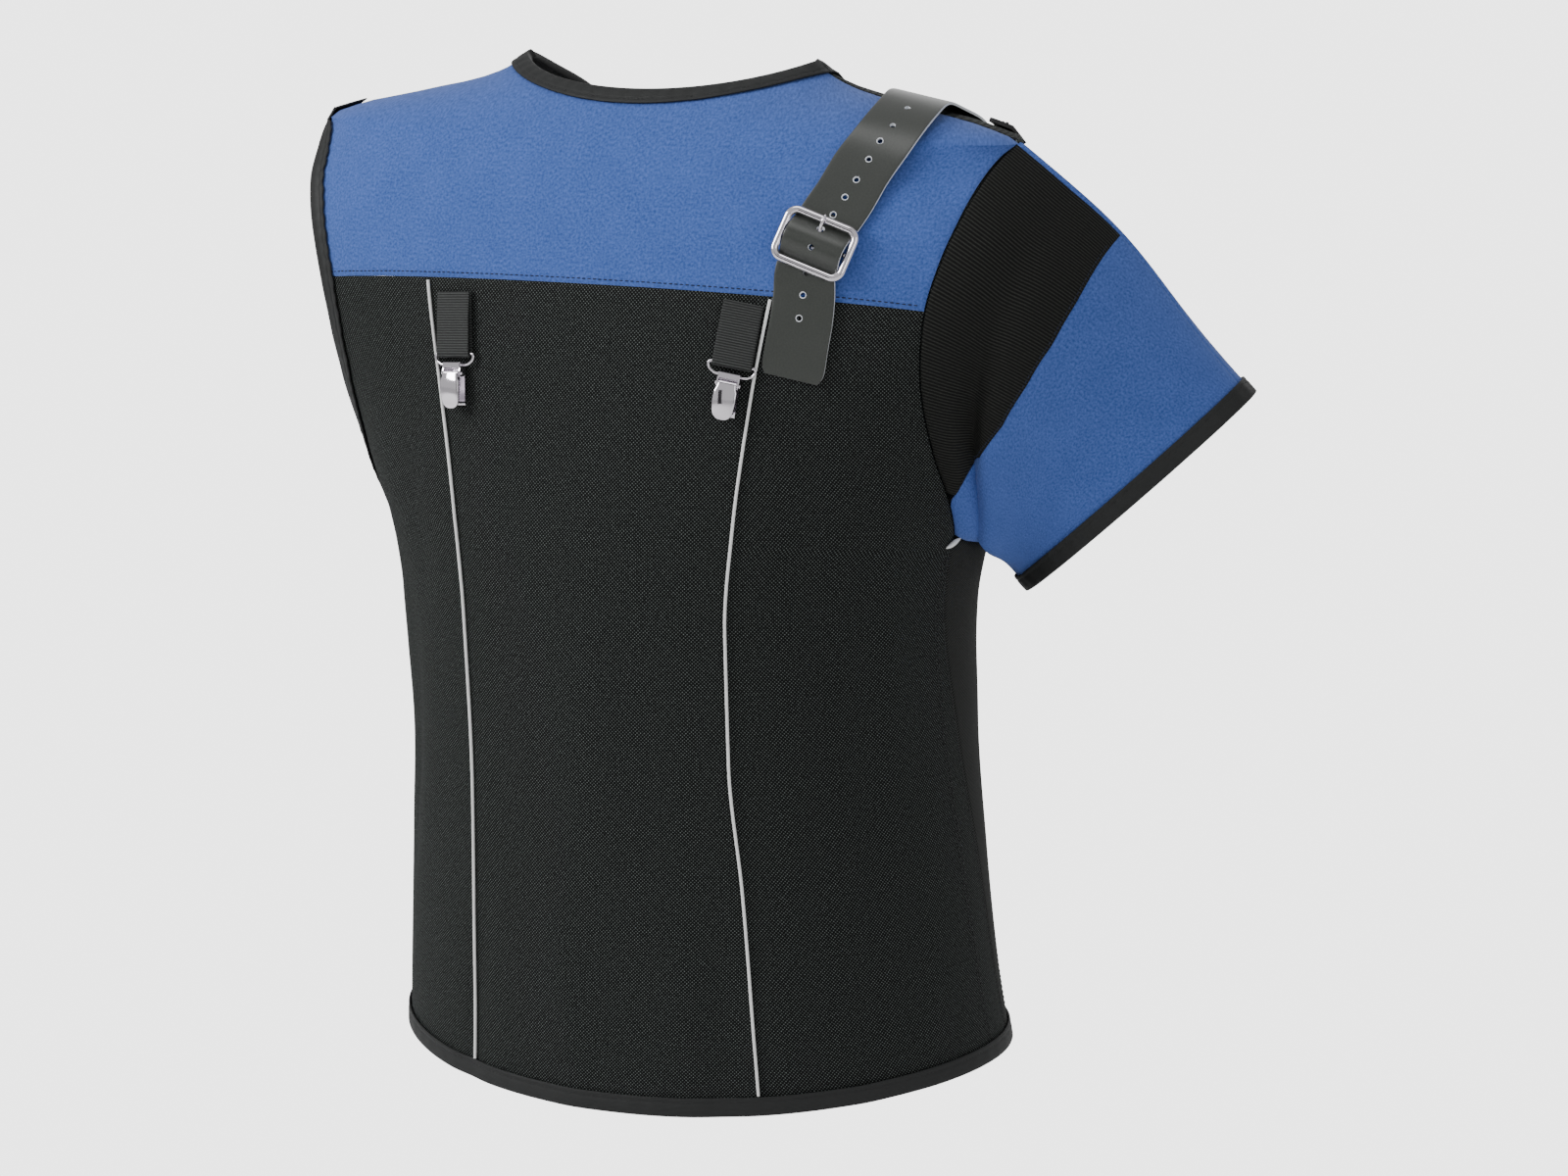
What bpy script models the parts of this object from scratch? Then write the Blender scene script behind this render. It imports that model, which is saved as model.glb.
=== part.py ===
"""Shooting vest, worn form, in metres: +Z up, the front faces -Y, the wearer's right is -X.

The origin lies between the two shoulder-neck points. The body is one sheet of closed rings, each a
superellipse whose back half and front half have their own depth; every cloth panel is a wall grown
outward from a patch of that sheet, and what lies on a panel is made from its points moved out.
"""

import math

import bmesh
import bpy
import numpy as np

CLOTH = 0.0020  # wall of every cut panel
SEAM = 0.0003  # gap between two pieces at a seam
INSET = 0.0014  # the same gap at a panel's side edge, as half of it in radians
ROUND = 2.06  # exponent of the body rings
EASE = 0.0018  # the tables below give the outer face, and the sheet is the wearer's side
TAPE = 0.0011  # wall of a binding tape
TAPE_CLEAR = 0.0010  # tape to cloth
TAPE_WIDE = 0.0105  # how far a binding reaches over the cloth

# Body centre line: height, mid depth of the ring, back surface, front surface.
DEPTHS = (
    # z, mid, back, front
    (0.000, 0.024, 0.046, 0.000),
    (-0.010, 0.026, 0.070, -0.020),
    (-0.020, 0.028, 0.085, -0.037),
    (-0.042, 0.0326, 0.106, -0.062),
    (-0.060, 0.032, 0.118, -0.080),
    (-0.080, 0.031, 0.127, -0.096),
    (-0.110, 0.029, 0.137, -0.113),
    (-0.140, 0.026, 0.1445, -0.125),
    (-0.200, 0.016, 0.152, -0.140),
    (-0.260, 0.006, 0.1555, -0.148),
    (-0.290, 0.002, 0.156, -0.150),
    (-0.342, 0.001, 0.1545, -0.152),
    (-0.424, -0.0047, 0.150, -0.159),
    (-0.508, -0.0092, 0.1432, -0.162),
    (-0.592, -0.0165, 0.1389, -0.172),
    (-0.643, -0.0244, 0.135, -0.184),
)
# Edge of the back half: the shoulder line from the neck to its tip, then the armhole down to the gusset.
BACK_EDGE = (
    # z, half width x, depth y
    (0.000, 0.1015, 0.024),
    (-0.004, 0.107, 0.0248),
    (-0.009, 0.1155, 0.0258),
    (-0.015, 0.130, 0.027),
    (-0.0245, 0.170, 0.029),
    (-0.034, 0.214, 0.0312),
    (-0.042, 0.2395, 0.0326),
    (-0.050, 0.2355, 0.050),
    (-0.060, 0.2318, 0.0655),
    (-0.080, 0.2262, 0.0865),
    (-0.110, 0.2165, 0.101),
    (-0.140, 0.2085, 0.1055),
    (-0.170, 0.2042, 0.102),
    (-0.200, 0.2022, 0.0925),
    (-0.230, 0.2022, 0.0765),
    (-0.260, 0.2035, 0.056),
    (-0.280, 0.202, 0.042),
    (-0.290, 0.1995, 0.034),
)
FRONT_EDGE = BACK_EDGE[:7] + (
    (-0.050, 0.232, 0.012),
    (-0.060, 0.224, -0.004),
    (-0.080, 0.211, -0.026),
    (-0.110, 0.197, -0.047),
    (-0.140, 0.188, -0.060),
    (-0.170, 0.1825, -0.069),
    (-0.200, 0.179, -0.0755),
    (-0.230, 0.1755, -0.081),
    (-0.260, 0.172, -0.085),
    (-0.290, 0.1676, -0.0866),
)
SIDE = ((-0.290, 0.2034), (-0.316, 0.196), (-0.342, 0.1912), (-0.380, 0.1892), (-0.424, 0.1892),
        (-0.508, 0.1944), (-0.592, 0.2008), (-0.643, 0.2059), (-0.670, 0.209))  # z, half width
TIP_Z = -0.042  # where the shoulder line ends and the armhole begins
UNDERARM_Z = -0.290
YOKE_Z, YOKE_DROOP = -0.1292, 0.0097  # lower edge at the centre, and how much lower it is at the armhole
HEM_Z, HEM_DIP = -0.6400, 0.0165  # hem at the sides, and how much lower it is at the back centre
NECK_X, NECK_DROP = 0.1015, 0.0175  # half width of the neck, and its drop at the back centre
V_DEPTH = 0.165  # drop of the front neck
# z, and the distance of the left and of the right piping off the middle.
PIPING = ((-0.128, 0.1168, 0.1196), (-0.20, 0.1045, 0.1069), (-0.27, 0.0960, 0.0963),
          (-0.342, 0.0911, 0.0892), (-0.424, 0.0894, 0.0891), (-0.508, 0.0925, 0.0948),
          (-0.592, 0.0973, 0.0996), (-0.662, 0.100, 0.102))
# Gusset edges as angles round the ring from the side, in degrees, back positive.
GUSSET = (
    # z, back edge, front edge
    (-0.290, 12.25, -35.0),
    (-0.317, 10.3, -33.5),
    (-0.365, 6.7, -30.5),
    (-0.4495, -0.4, -26.5),
    (-0.5326, -6.6, -23.5),
    (-0.645, -12.5, -20.0),
)


# ---------------------------------------------------------------- curves and the body sheet
def smooth(table, column):
    """Monotone cubic through a table's column, with height as the first column."""
    rows = np.array(sorted(row[:1] + (row[column],) for row in table))
    x, y = rows[:, 0], rows[:, 1]
    step, rise = np.diff(x), np.diff(y) / np.diff(x)
    slope = np.empty_like(y)
    slope[0], slope[-1] = rise[0], rise[-1]
    both = rise[:-1] * rise[1:] > 0
    w1, w2 = 2 * step[1:] + step[:-1], step[1:] + 2 * step[:-1]
    with np.errstate(divide="ignore", invalid="ignore"):
        mean = (w1 + w2) / (w1 / rise[:-1] + w2 / rise[1:])
    slope[1:-1] = np.where(both, mean, 0.0)

    def at(z):
        z = np.clip(np.asarray(z, float), x[0], x[-1])
        i = np.clip(np.searchsorted(x, z) - 1, 0, len(x) - 2)
        h = step[i]
        t = (z - x[i]) / h
        return (y[i] * (1 + 2 * t) * (1 - t) ** 2 + slope[i] * h * t * (1 - t) ** 2
                + y[i + 1] * t * t * (3 - 2 * t) + slope[i + 1] * h * t * t * (t - 1))

    return at


mid_of, back_of, front_of = (smooth(DEPTHS, column) for column in (1, 2, 3))
side_of = smooth(SIDE, 1)
piping_of = {"left": smooth(PIPING, 1), "right": smooth(PIPING, 2)}
gusset_back_of, gusset_front_of = smooth(GUSSET, 1), smooth(GUSSET, 2)


def edge_functions(table):
    """x and y of an edge; the corner at the shoulder tip stays sharp."""
    line = [row for row in table if row[0] >= TIP_Z]
    armhole = [row for row in table if row[0] <= TIP_Z]
    parts = [[smooth(t, column) for t in (line, armhole)] for column in (1, 2)]
    return [lambda z, p=pair: np.where(np.asarray(z) > TIP_Z, p[0](z), p[1](z)) for pair in parts]


edge_x = dict(zip(("back", "front"), (edge_functions(BACK_EDGE)[0], edge_functions(FRONT_EDGE)[0])))
edge_y = dict(zip(("back", "front"), (edge_functions(BACK_EDGE)[1], edge_functions(FRONT_EDGE)[1])))


def ring(z, half):
    """Half width, mid depth, signed depth and edge angle of one half ring at height z."""
    z = np.asarray(z, float)
    mid = mid_of(z)
    depth = back_of(z) - mid if half == "back" else mid - front_of(z)
    reach = np.abs(edge_y[half](z) - mid) / depth
    reach = np.where(z >= TIP_Z, 0.0, np.clip(reach, 0.0, 0.98))
    wide = edge_x[half](z) / (1 - reach ** ROUND) ** (1 / ROUND)
    start = np.arcsin(reach ** (ROUND / 2))
    closed = z < UNDERARM_Z
    return np.where(closed, side_of(z), wide) - EASE, mid, depth - EASE, np.where(closed, 0.0, start)


def body(angle, z):
    """Point of the body sheet: angle 0 is the wearer's left side, 90 degrees the back centre."""
    angle, z = np.broadcast_arrays(np.asarray(angle, float), np.asarray(z, float))
    wide_b, mid, depth_b, _ = ring(z, "back")
    wide_f, _, depth_f, _ = ring(z, "front")
    s, c = np.sin(angle), np.cos(angle)
    wide, depth = np.where(s >= 0, wide_b, wide_f), np.where(s >= 0, depth_b, depth_f)
    x = wide * np.sign(c) * np.abs(c) ** (2 / ROUND)
    y = mid + depth * np.sign(s) * np.abs(s) ** (2 / ROUND)
    return np.stack([x, y, z], axis=-1)


def unit(v):
    return v / np.maximum(np.linalg.norm(v, axis=-1, keepdims=True), 1e-12)


def body_normal(angle, z):
    """Outward unit normal, from differences a little to either side."""
    angle, z = np.broadcast_arrays(np.asarray(angle, float), np.asarray(z, float))
    da, dz = 0.004, 0.0006
    along = body(angle + da, z) - body(angle - da, z)
    high, low = np.minimum(z + dz, 0.0), z - dz
    low = np.where(z > TIP_Z, np.maximum(low, TIP_Z), low)
    high = np.where(z <= TIP_Z, np.minimum(high, TIP_Z), high)
    up = body(angle, high) - body(angle, low)
    return unit(np.cross(along, up))


def lerp(a, b, t):
    return a + (b - a) * t


# ---------------------------------------------------------------- solids
def material(name, colour, rough, metal=0.0):
    made = bpy.data.materials.new(name)
    made.use_nodes = True
    shader = made.node_tree.nodes["Principled BSDF"]
    shader.inputs["Base Color"].default_value = (*colour, 1.0)
    shader.inputs["Roughness"].default_value = rough
    shader.inputs["Metallic"].default_value = metal
    made.diffuse_color = (*colour, 1.0)
    return made


def solid(name, points, faces, look):
    """A mesh object whose faces are turned outward."""
    mesh = bpy.data.meshes.new(name)
    mesh.from_pydata([tuple(map(float, p)) for p in points], [], [list(map(int, f)) for f in faces])
    grown = bmesh.new()
    grown.from_mesh(mesh)
    bmesh.ops.recalc_face_normals(grown, faces=grown.faces)
    if grown.calc_volume(signed=True) < 0:
        bmesh.ops.reverse_faces(grown, faces=grown.faces)
    grown.to_mesh(mesh)
    grown.free()
    made = bpy.data.objects.new(name, mesh)
    bpy.context.scene.collection.objects.link(made)
    mesh.materials.append(look)
    return made


def wall(name, inner, outer, look):
    """Closed wall between two grids of points of the same shape."""
    rows, columns = inner.shape[:2]
    count = rows * columns
    index = np.arange(count).reshape(rows, columns)
    quads = np.stack([index[:-1, :-1], index[:-1, 1:], index[1:, 1:], index[1:, :-1]], -1).reshape(-1, 4)
    rim = np.concatenate([index[0, :], index[1:, -1], index[-1, -2::-1], index[-2:0:-1, 0]])
    after = np.roll(rim, -1)
    faces = np.concatenate([quads, quads[:, ::-1] + count,
                            np.stack([rim, rim + count, after + count, after], -1)])
    return solid(name, np.concatenate([inner.reshape(-1, 3), outer.reshape(-1, 3)]), faces, look)


def sweep(name, sections, look, closed=True):
    """Solid through a run of polygon sections, joined end to end or capped."""
    count, corners = sections.shape[:2]
    index = np.arange(count * corners).reshape(count, corners)
    first = index if closed else index[:-1]
    second = np.roll(index, -1, axis=0) if closed else index[1:]
    faces = np.stack([first, np.roll(first, -1, 1), np.roll(second, -1, 1), second], -1).reshape(-1, 4)
    faces = [list(f) for f in faces]
    if not closed:
        faces += [list(index[0][::-1]), list(index[-1])]
    return solid(name, sections.reshape(-1, 3), faces, look)


def tangents(path, closed):
    if closed:
        return unit(np.roll(path, -1, 0) - np.roll(path, 1, 0))
    return unit(np.gradient(path, axis=0))


def tube(name, path, radius, look, corners=8, closed=False, lead=(0.0, 0.0, 1.0), flat=1.0):
    """Round bar along a path; lead is any direction that is never along it."""
    path = np.asarray(path, float)
    run = tangents(path, closed)
    across = unit(np.cross(run, np.asarray(lead, float)))
    over = np.cross(across, run)
    turn = np.arange(corners) * 2 * np.pi / corners + np.pi / corners
    radius = np.broadcast_to(np.asarray(radius, float), len(path))[:, None, None]
    ringed = (path[:, None] + radius * (across[:, None] * np.cos(turn)[None, :, None]
                                        + flat * over[:, None] * np.sin(turn)[None, :, None]))
    return sweep(name, ringed, look, closed)


def resample(path, count, closed=False, ends=(0.0, 1.0)):
    path = np.concatenate([path, path[:1]]) if closed else path
    length = np.concatenate([[0.0], np.cumsum(np.linalg.norm(np.diff(path[:, :3], axis=0), axis=1))])
    share = (np.arange(count) / count if closed else np.linspace(ends[0], ends[1], count)) * length[-1]
    return np.stack([np.interp(share, length, path[:, k]) for k in range(path.shape[1])], -1)


# ---------------------------------------------------------------- seam lines on the sheet
def neck_curve(half, count=120):
    """Angles (0 to 90 degrees) and heights of the neck edge on one half, from the shoulder inward."""
    turn = np.linspace(0.0, math.pi / 2, count)
    x = NECK_X * np.cos(turn)
    if half == "back":
        z = -NECK_DROP * np.sin(turn) ** 1.5
    else:
        z = -V_DEPTH * (1 - (x / NECK_X) ** 1.3)
    share = np.clip(x / ring(z, half)[0], 0.0, 1.0)
    return np.arccos(share ** (ROUND / 2)), z


NECK = {half: neck_curve(half) for half in ("back", "front")}


def neck_z(angle, half):
    from_shoulder = np.arccos(np.clip(np.abs(np.cos(angle)), 0.0, 1.0))
    return np.interp(from_shoulder, *NECK[half])


YOKE_EDGE = float(ring(YOKE_Z - YOKE_DROOP, "back")[3])


def yoke_z(angle):
    share = (angle - math.pi / 2) / (math.pi / 2 - YOKE_EDGE)
    return YOKE_Z - YOKE_DROOP * share ** 2


def hem_z(angle):
    return HEM_Z - HEM_DIP * np.maximum(np.sin(angle), 0.0) ** 2


def piping_angle(z, side="left"):
    return np.arccos((piping_of[side](z) / ring(z, "back")[0]) ** (ROUND / 2))


def back_edge(z):
    """Angle of the back piece's side edge: shoulder line, armhole, then the gusset seam."""
    return np.where(z < UNDERARM_Z, np.radians(gusset_back_of(z)), ring(z, "back")[3])


def front_edge(z):
    return np.where(z < UNDERARM_Z, np.radians(gusset_front_of(z)), -ring(z, "front")[3])


def underarm_z(angle):
    """Top edge of the gusset."""
    low, high = np.radians(GUSSET[0][2]), np.radians(GUSSET[0][1])
    return UNDERARM_Z - 0.010 * np.sin(np.pi * np.clip((angle - low) / (high - low), 0.0, 1.0))


# ---------------------------------------------------------------- panels
def panel_grid(first, last, bottom, top, columns, rows, hold=None, level=None):
    """Angles and heights of a patch between two side edges and two ends, inset for the seams.

    With hold, the columns stand upright at first and bend to the last edge only near it. A level is the
    share of one row and its height, which it keeps in every column.
    """
    t = np.linspace(0.0, 1.0, columns)[None, :] if isinstance(columns, int) else np.array(columns)[None, :]
    s = np.array(rows)[:, None]
    z = np.full((len(rows), t.shape[1]), -0.35)

    def angle_at(z):
        low, high = first(z) + INSET, last(z) - INSET
        return lerp(low, high, t) if hold is None else low + (hold - low) * t + (high - hold) * t ** 2

    for _ in range(40):
        angle = angle_at(z)
        low, high = bottom(angle) + SEAM / 2, top(angle) - SEAM / 2
        if level is None:
            z = 0.5 * z + 0.5 * lerp(low, high, s)
        else:
            share, middle = level[0], level[1](high)
            z = 0.5 * z + 0.5 * np.where(s <= share + 1e-9, lerp(low, middle, s / share),
                                         lerp(middle, high, (s - share) / (1 - share)))
    return angle_at(z), z


def panel(name, look, first, last, bottom, top, columns, rows, mirrored=False, hold=None, level=None):
    angle, z = panel_grid(first, last, bottom, top, columns, rows, hold, level)
    base, out = body(angle, z), body_normal(angle, z)
    if mirrored:
        base, out = base * (-1, 1, 1), out * (-1, 1, 1)
    wall(name, base, base + out * CLOTH, look)
    return (math.pi - angle if mirrored else angle), z


def flat(value):
    return lambda z: np.full_like(np.asarray(z, float), value)


def even(*stops):
    """Row shares from (share, steps to it) pairs, starting at 0."""
    rows = [0.0]
    for share, steps in stops:
        rows += list(np.linspace(rows[-1], share, steps + 1)[1:])
    return rows


# ---------------------------------------------------------------- bindings
def inward_of(path, out, flip=False):
    """Direction into the cloth, along its surface, at each point of a closed edge."""
    run = tangents(path, True)
    across = np.cross(out, run) * (-1 if flip else 1)
    across = unit(across + 0.5 * np.roll(across, 1, 0) + 0.5 * np.roll(across, -1, 0))
    return unit(across - out * np.sum(out * across, -1, keepdims=True))


def settle(sheet, p, q, target):
    """Parameters of the sheet point nearest to each target, starting from a near guess."""
    d = 1e-4
    for _ in range(8):
        here = sheet(p, q)
        by_p = (sheet(p + d, q) - sheet(p - d, q)) / (2 * d)
        by_q = (sheet(p, q + d) - sheet(p, q - d)) / (2 * d)
        left = target - here
        pp, pq, qq = (np.sum(u * v, -1) for u, v in ((by_p, by_p), (by_p, by_q), (by_q, by_q)))
        rp, rq = np.sum(by_p * left, -1), np.sum(by_q * left, -1)
        scale = pp * qq - pq * pq
        p, q = p + (rp * qq - rq * pq) / scale, q + (rq * pp - rp * pq) / scale
    return p, q


def binding(name, look, path, out, inward, far, far_out, clear=0.0):
    """Tape folded round a cloth edge: a U section swept along it, its legs ending over the far points."""
    c, w, slot = TAPE_CLEAR + np.reshape(clear, (-1, 1)), TAPE, -0.0012
    near = ((slot, CLOTH + c), (slot, -c), (slot - w * 0.5, -c - w), (slot - w, -c - w * 0.5),
            (slot - w, CLOTH + c + w * 0.5), (slot - w * 0.5, CLOTH + c + w))
    near = [path + inward * u + out * v for u, v in near]
    ends = [far + far_out * v for v in (CLOTH + c, -c, -c - w, CLOTH + c + w)]
    loop = [ends[0], near[0], near[1], ends[1], ends[2], near[2], near[3], near[4], near[5], ends[3]]
    ringed = np.stack(loop, 1)
    return sweep(name, ringed, look)


def bound_edge(name, look, sheet, normal, p, q, flip=False, wide=TAPE_WIDE, clear=0.0):
    """Binding along a closed edge, with one section at each of the panels' own edge points."""
    path, out = sheet(p, q), normal(p, q)
    inward = inward_of(path, out, flip)
    far_p, far_q = settle(sheet, p, q, path + inward * np.reshape(wide, (-1, 1)))
    return binding(name, look, path, out, inward, sheet(far_p, far_q), normal(far_p, far_q), clear)


def armhole_line(count=160):
    """Angles and heights of the left armhole from the shoulder tip down the back and up the front."""
    down = np.linspace(TIP_Z, UNDERARM_Z, count)
    under = np.linspace(np.radians(GUSSET[0][1]), np.radians(GUSSET[0][2]), count // 3)[1:-1]
    up = down[::-1][:-1]
    return (np.concatenate([ring(down, "back")[3], under, -ring(up, "front")[3]]),
            np.concatenate([down, underarm_z(under), up]))


def armhole(count):
    """Evenly spaced points of that line, with their outward and inward directions."""
    angle, z = armhole_line()
    dense = resample(np.concatenate([body(angle, z), body_normal(angle, z)], -1), count, closed=True)
    path, out = dense[:, :3], unit(dense[:, 3:])
    for _ in range(2):
        out = unit(np.roll(out, 1, 0) + 2 * out + np.roll(out, -1, 0))
    return path, out, inward_of(path, out)


MIRROR = np.array((-1.0, 1.0, 1.0))

# ---------------------------------------------------------------- sleeve
CUFF = np.array((-0.2900, -0.0500, -0.2660))  # centre of the cuff ring
CUFF_LONG, CUFF_SHORT = 0.0960, 0.0620  # its half axes
CUFF_OUT = unit(np.array((-0.745, 0.01, 0.667)))  # direction of its upper end
CUFF_BACK = unit(np.array((-0.10, 1.0, -0.127)))
SLEEVE_AXIS = unit(np.cross(CUFF_BACK, CUFF_OUT))  # outward and down
SLEEVE_AXIS = SLEEVE_AXIS * (1 if SLEEVE_AXIS[2] < 0 else -1)
LOOP = 240
LOOP_PATH, LOOP_OUT, LOOP_IN = (part * MIRROR for part in armhole(LOOP))
for _ in range(150):
    LOOP_IN = unit(np.roll(LOOP_IN, 1, 0) + 2 * LOOP_IN + np.roll(LOOP_IN, -1, 0))
CAP_OUT = unit(np.array((-0.80, 0.0, -0.60)))  # how the cap leaves the shoulder tip
SEAM_BACK = 0.37  # where the diagonal seam between the ribbed and the blue piece meets the armhole
SEAM_LINE = ((0.0, 0.405), (0.05, 0.415), (0.10, 0.425), (0.15, 0.430), (0.20, 0.415), (0.25, 0.375),
             (0.30, 0.280), (0.33, 0.175), (0.355, 0.075), (SEAM_BACK, 0.0))  # share round, share along


def loop_at(around, values):
    spot = np.asarray(around, float) % 1.0 * LOOP
    low = np.floor(spot).astype(int)
    t = (spot - low)[..., None]
    return values[low % LOOP] * (1 - t) + values[(low + 1) % LOOP] * t


def bump(x, centre, half_width):
    return np.exp(-((x - centre) / half_width) ** 2)


def sleeve(around, along, crease=1.0):
    """Point of the sleeve sheet: around from the shoulder tip down the back, along from armhole to cuff."""
    around, along = np.broadcast_arrays(np.asarray(around, float), np.asarray(along, float))
    turn = 2 * np.pi * around
    cap = (((1 + np.cos(turn)) / 2) ** 4)[..., None]
    start, away = loop_at(around, LOOP_PATH), unit(lerp(-unit(loop_at(around, LOOP_IN)), CAP_OUT, cap))
    under = ((1 - np.cos(turn)) / 2) ** 3
    back = np.maximum(np.sin(turn), 0.0)
    share = (0.30 + 0.10 * back + 0.42 * under)[..., None] * (1 - cap)
    heading = unit(away * (1 - share) + SLEEVE_AXIS * share)
    # Where the sleeve folds outward from the body, its wall starts farther off.
    turned = np.arccos(np.clip(np.sum(heading * away, -1), -1.0, 1.0))
    rise = np.sum(heading * loop_at(around, LOOP_OUT), -1)
    off = 0.0012 + 0.0016 * cap[..., 0] + 1.7 * CLOTH * np.tan(turned / 2) * np.clip(rise / 0.1, 0.0, 1.0)
    start = start + away * off[..., None]
    end = CUFF + CUFF_OUT * (CUFF_LONG * np.cos(turn))[..., None]
    end = end + CUFF_BACK * (CUFF_SHORT * np.sin(turn))[..., None]
    reach = np.linalg.norm(end - start, axis=-1, keepdims=True)
    t = along[..., None]
    point = (start * (2 * t ** 3 - 3 * t ** 2 + 1) + heading * reach * (t ** 3 - 2 * t ** 2 + t)
             + end * (3 * t ** 2 - 2 * t ** 3) + SLEEVE_AXIS * reach * (t ** 3 - t ** 2))
    # The long crease beside the armhole seam, and the swell beyond it.
    inward = unit(CUFF + (LOOP_PATH.mean(0) - CUFF) * (1 - t) - point)
    fold = 0.010 * bump(along, 0.21, 0.07) - 0.004 * bump(along, 0.40, 0.14)
    fold = crease * fold * bump(around, 0.27, 0.15)
    return point + inward * fold[..., None]


def sleeve_normal(around, along):
    d = 0.002
    run = sleeve(around, np.clip(along + d, 0.0, 1.0)) - sleeve(around, np.clip(along - d, 0.0, 1.0))
    side = sleeve(around + d, along) - sleeve(around - d, along)
    return unit(np.cross(side, run))


def sleeve_panel(name, look, around, first, last, rows):
    """Panel of the sleeve between two lines along it, each a function of the place round it."""
    around = np.array(around)[None, :]
    along = lerp(first(around), last(around), np.array(rows)[:, None])
    around = np.broadcast_to(around, along.shape)
    base, out = sleeve(around, along), sleeve_normal(around, along)
    return wall(name, base, base + out * CLOTH, look)


def diagonal(around):
    """Share along the sleeve of the seam between the ribbed piece and the blue piece."""
    return np.interp(around, *zip(*SEAM_LINE))


# ---------------------------------------------------------------- hard pieces
def prism(name, outline, half, spot, look):
    """Flat outline of (across, down, out) points given as (down, out), carried half to either side."""
    outline = np.array(outline, float) * 0.001
    sides = [np.array([spot(a, d, n) for d, n in outline]) for a in (-half * 0.001, half * 0.001)]
    return sweep(name, np.array(sides), look, closed=False)


def bar(name, start, end, radius, look, corners=12):
    start, end = np.array(start, float), np.array(end, float)
    lead = (0.0, 0.0, 1.0) if abs(unit(end - start)[2]) < 0.9 else (1.0, 0.0, 0.0)
    return tube(name, np.array([start, end]), radius, look, corners, lead=lead)


def combine(target, tools, operation):
    for tool in tools:
        change = target.modifiers.new(tool.name, "BOOLEAN")
        change.operation, change.solver, change.object = operation, "EXACT", tool
        tool.hide_render, tool.display_type = True, "WIRE"


def local_spot(origin, across, down, out):
    return lambda a, d, n: origin + across * a + down * d + out * n


# Webbing loops: sheet places of the top and bottom of each loop's centre line.
LOOPS = {"left": ((70.6, -0.1392), (69.3, -0.1799)), "right": ((111.2, -0.1360), (111.7, -0.1757))}
WEB_HALF, WEB_THICK = 12.5, 1.3  # mm
WIRE = 0.90  # mm, radius of the wire loop
FOLD = WIRE + 0.25  # inner radius of the webbing fold round the wire
# Half of the wire loop's centre line, across and down from the middle of its top bar, mm.
WIRE_LINE = ((0.0, 0.0), (12.6, 0.0), (13.9, 0.1), (14.8, 0.9), (14.9, 2.4), (13.9, 4.3), (11.8, 5.8),
             (8.8, 6.8), (0.0, 6.9))
BAR_DOWN, PIN_DOWN, PIN_OUT = 6.9, 12.2, 2.4  # mm: the wire's lower bar, and the lever's pin


def loop_frame(side):
    (top_angle, top_z), (low_angle, low_z) = LOOPS[side]
    lift = CLOTH + 0.0007
    top = body(np.radians(top_angle), top_z) + body_normal(np.radians(top_angle), top_z) * lift
    low = body(np.radians(low_angle), low_z) + body_normal(np.radians(low_angle), low_z) * lift
    down = unit(low - top)
    out = body_normal(np.radians(low_angle), low_z)
    out = unit(out - down * np.dot(out, down))
    across = np.cross(down, out)
    fold = low - down * (FOLD + WEB_THICK) * 0.001 + out * (FOLD + WEB_THICK) * 0.001
    return fold, across, down, out, float(np.linalg.norm(low - top)) * 1000


def webbing(side):
    fold, across, down, out, length = loop_frame(side)
    spot = local_spot(fold, across, down, out)
    top = -(length - FOLD - WEB_THICK)
    back, half_turn = -(FOLD + WEB_THICK), np.linspace(-math.pi / 2, math.pi / 2, 9)
    outer = [(top, back)]
    outer += [((FOLD + WEB_THICK) * math.cos(t), (FOLD + WEB_THICK) * math.sin(t)) for t in half_turn]
    outer += [(top + 16, -back * 0.75), (top, back + 2 * WEB_THICK + 0.4)]
    inner = [(top, back + WEB_THICK + 0.4), (top + 16, -back * 0.75 - WEB_THICK)]
    inner += [(FOLD * math.cos(t), FOLD * math.sin(t)) for t in half_turn[::-1]] + [(top, back + WEB_THICK)]
    prism("webbing_loop_" + side, outer + inner, WEB_HALF, spot, WEBBING)


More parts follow.
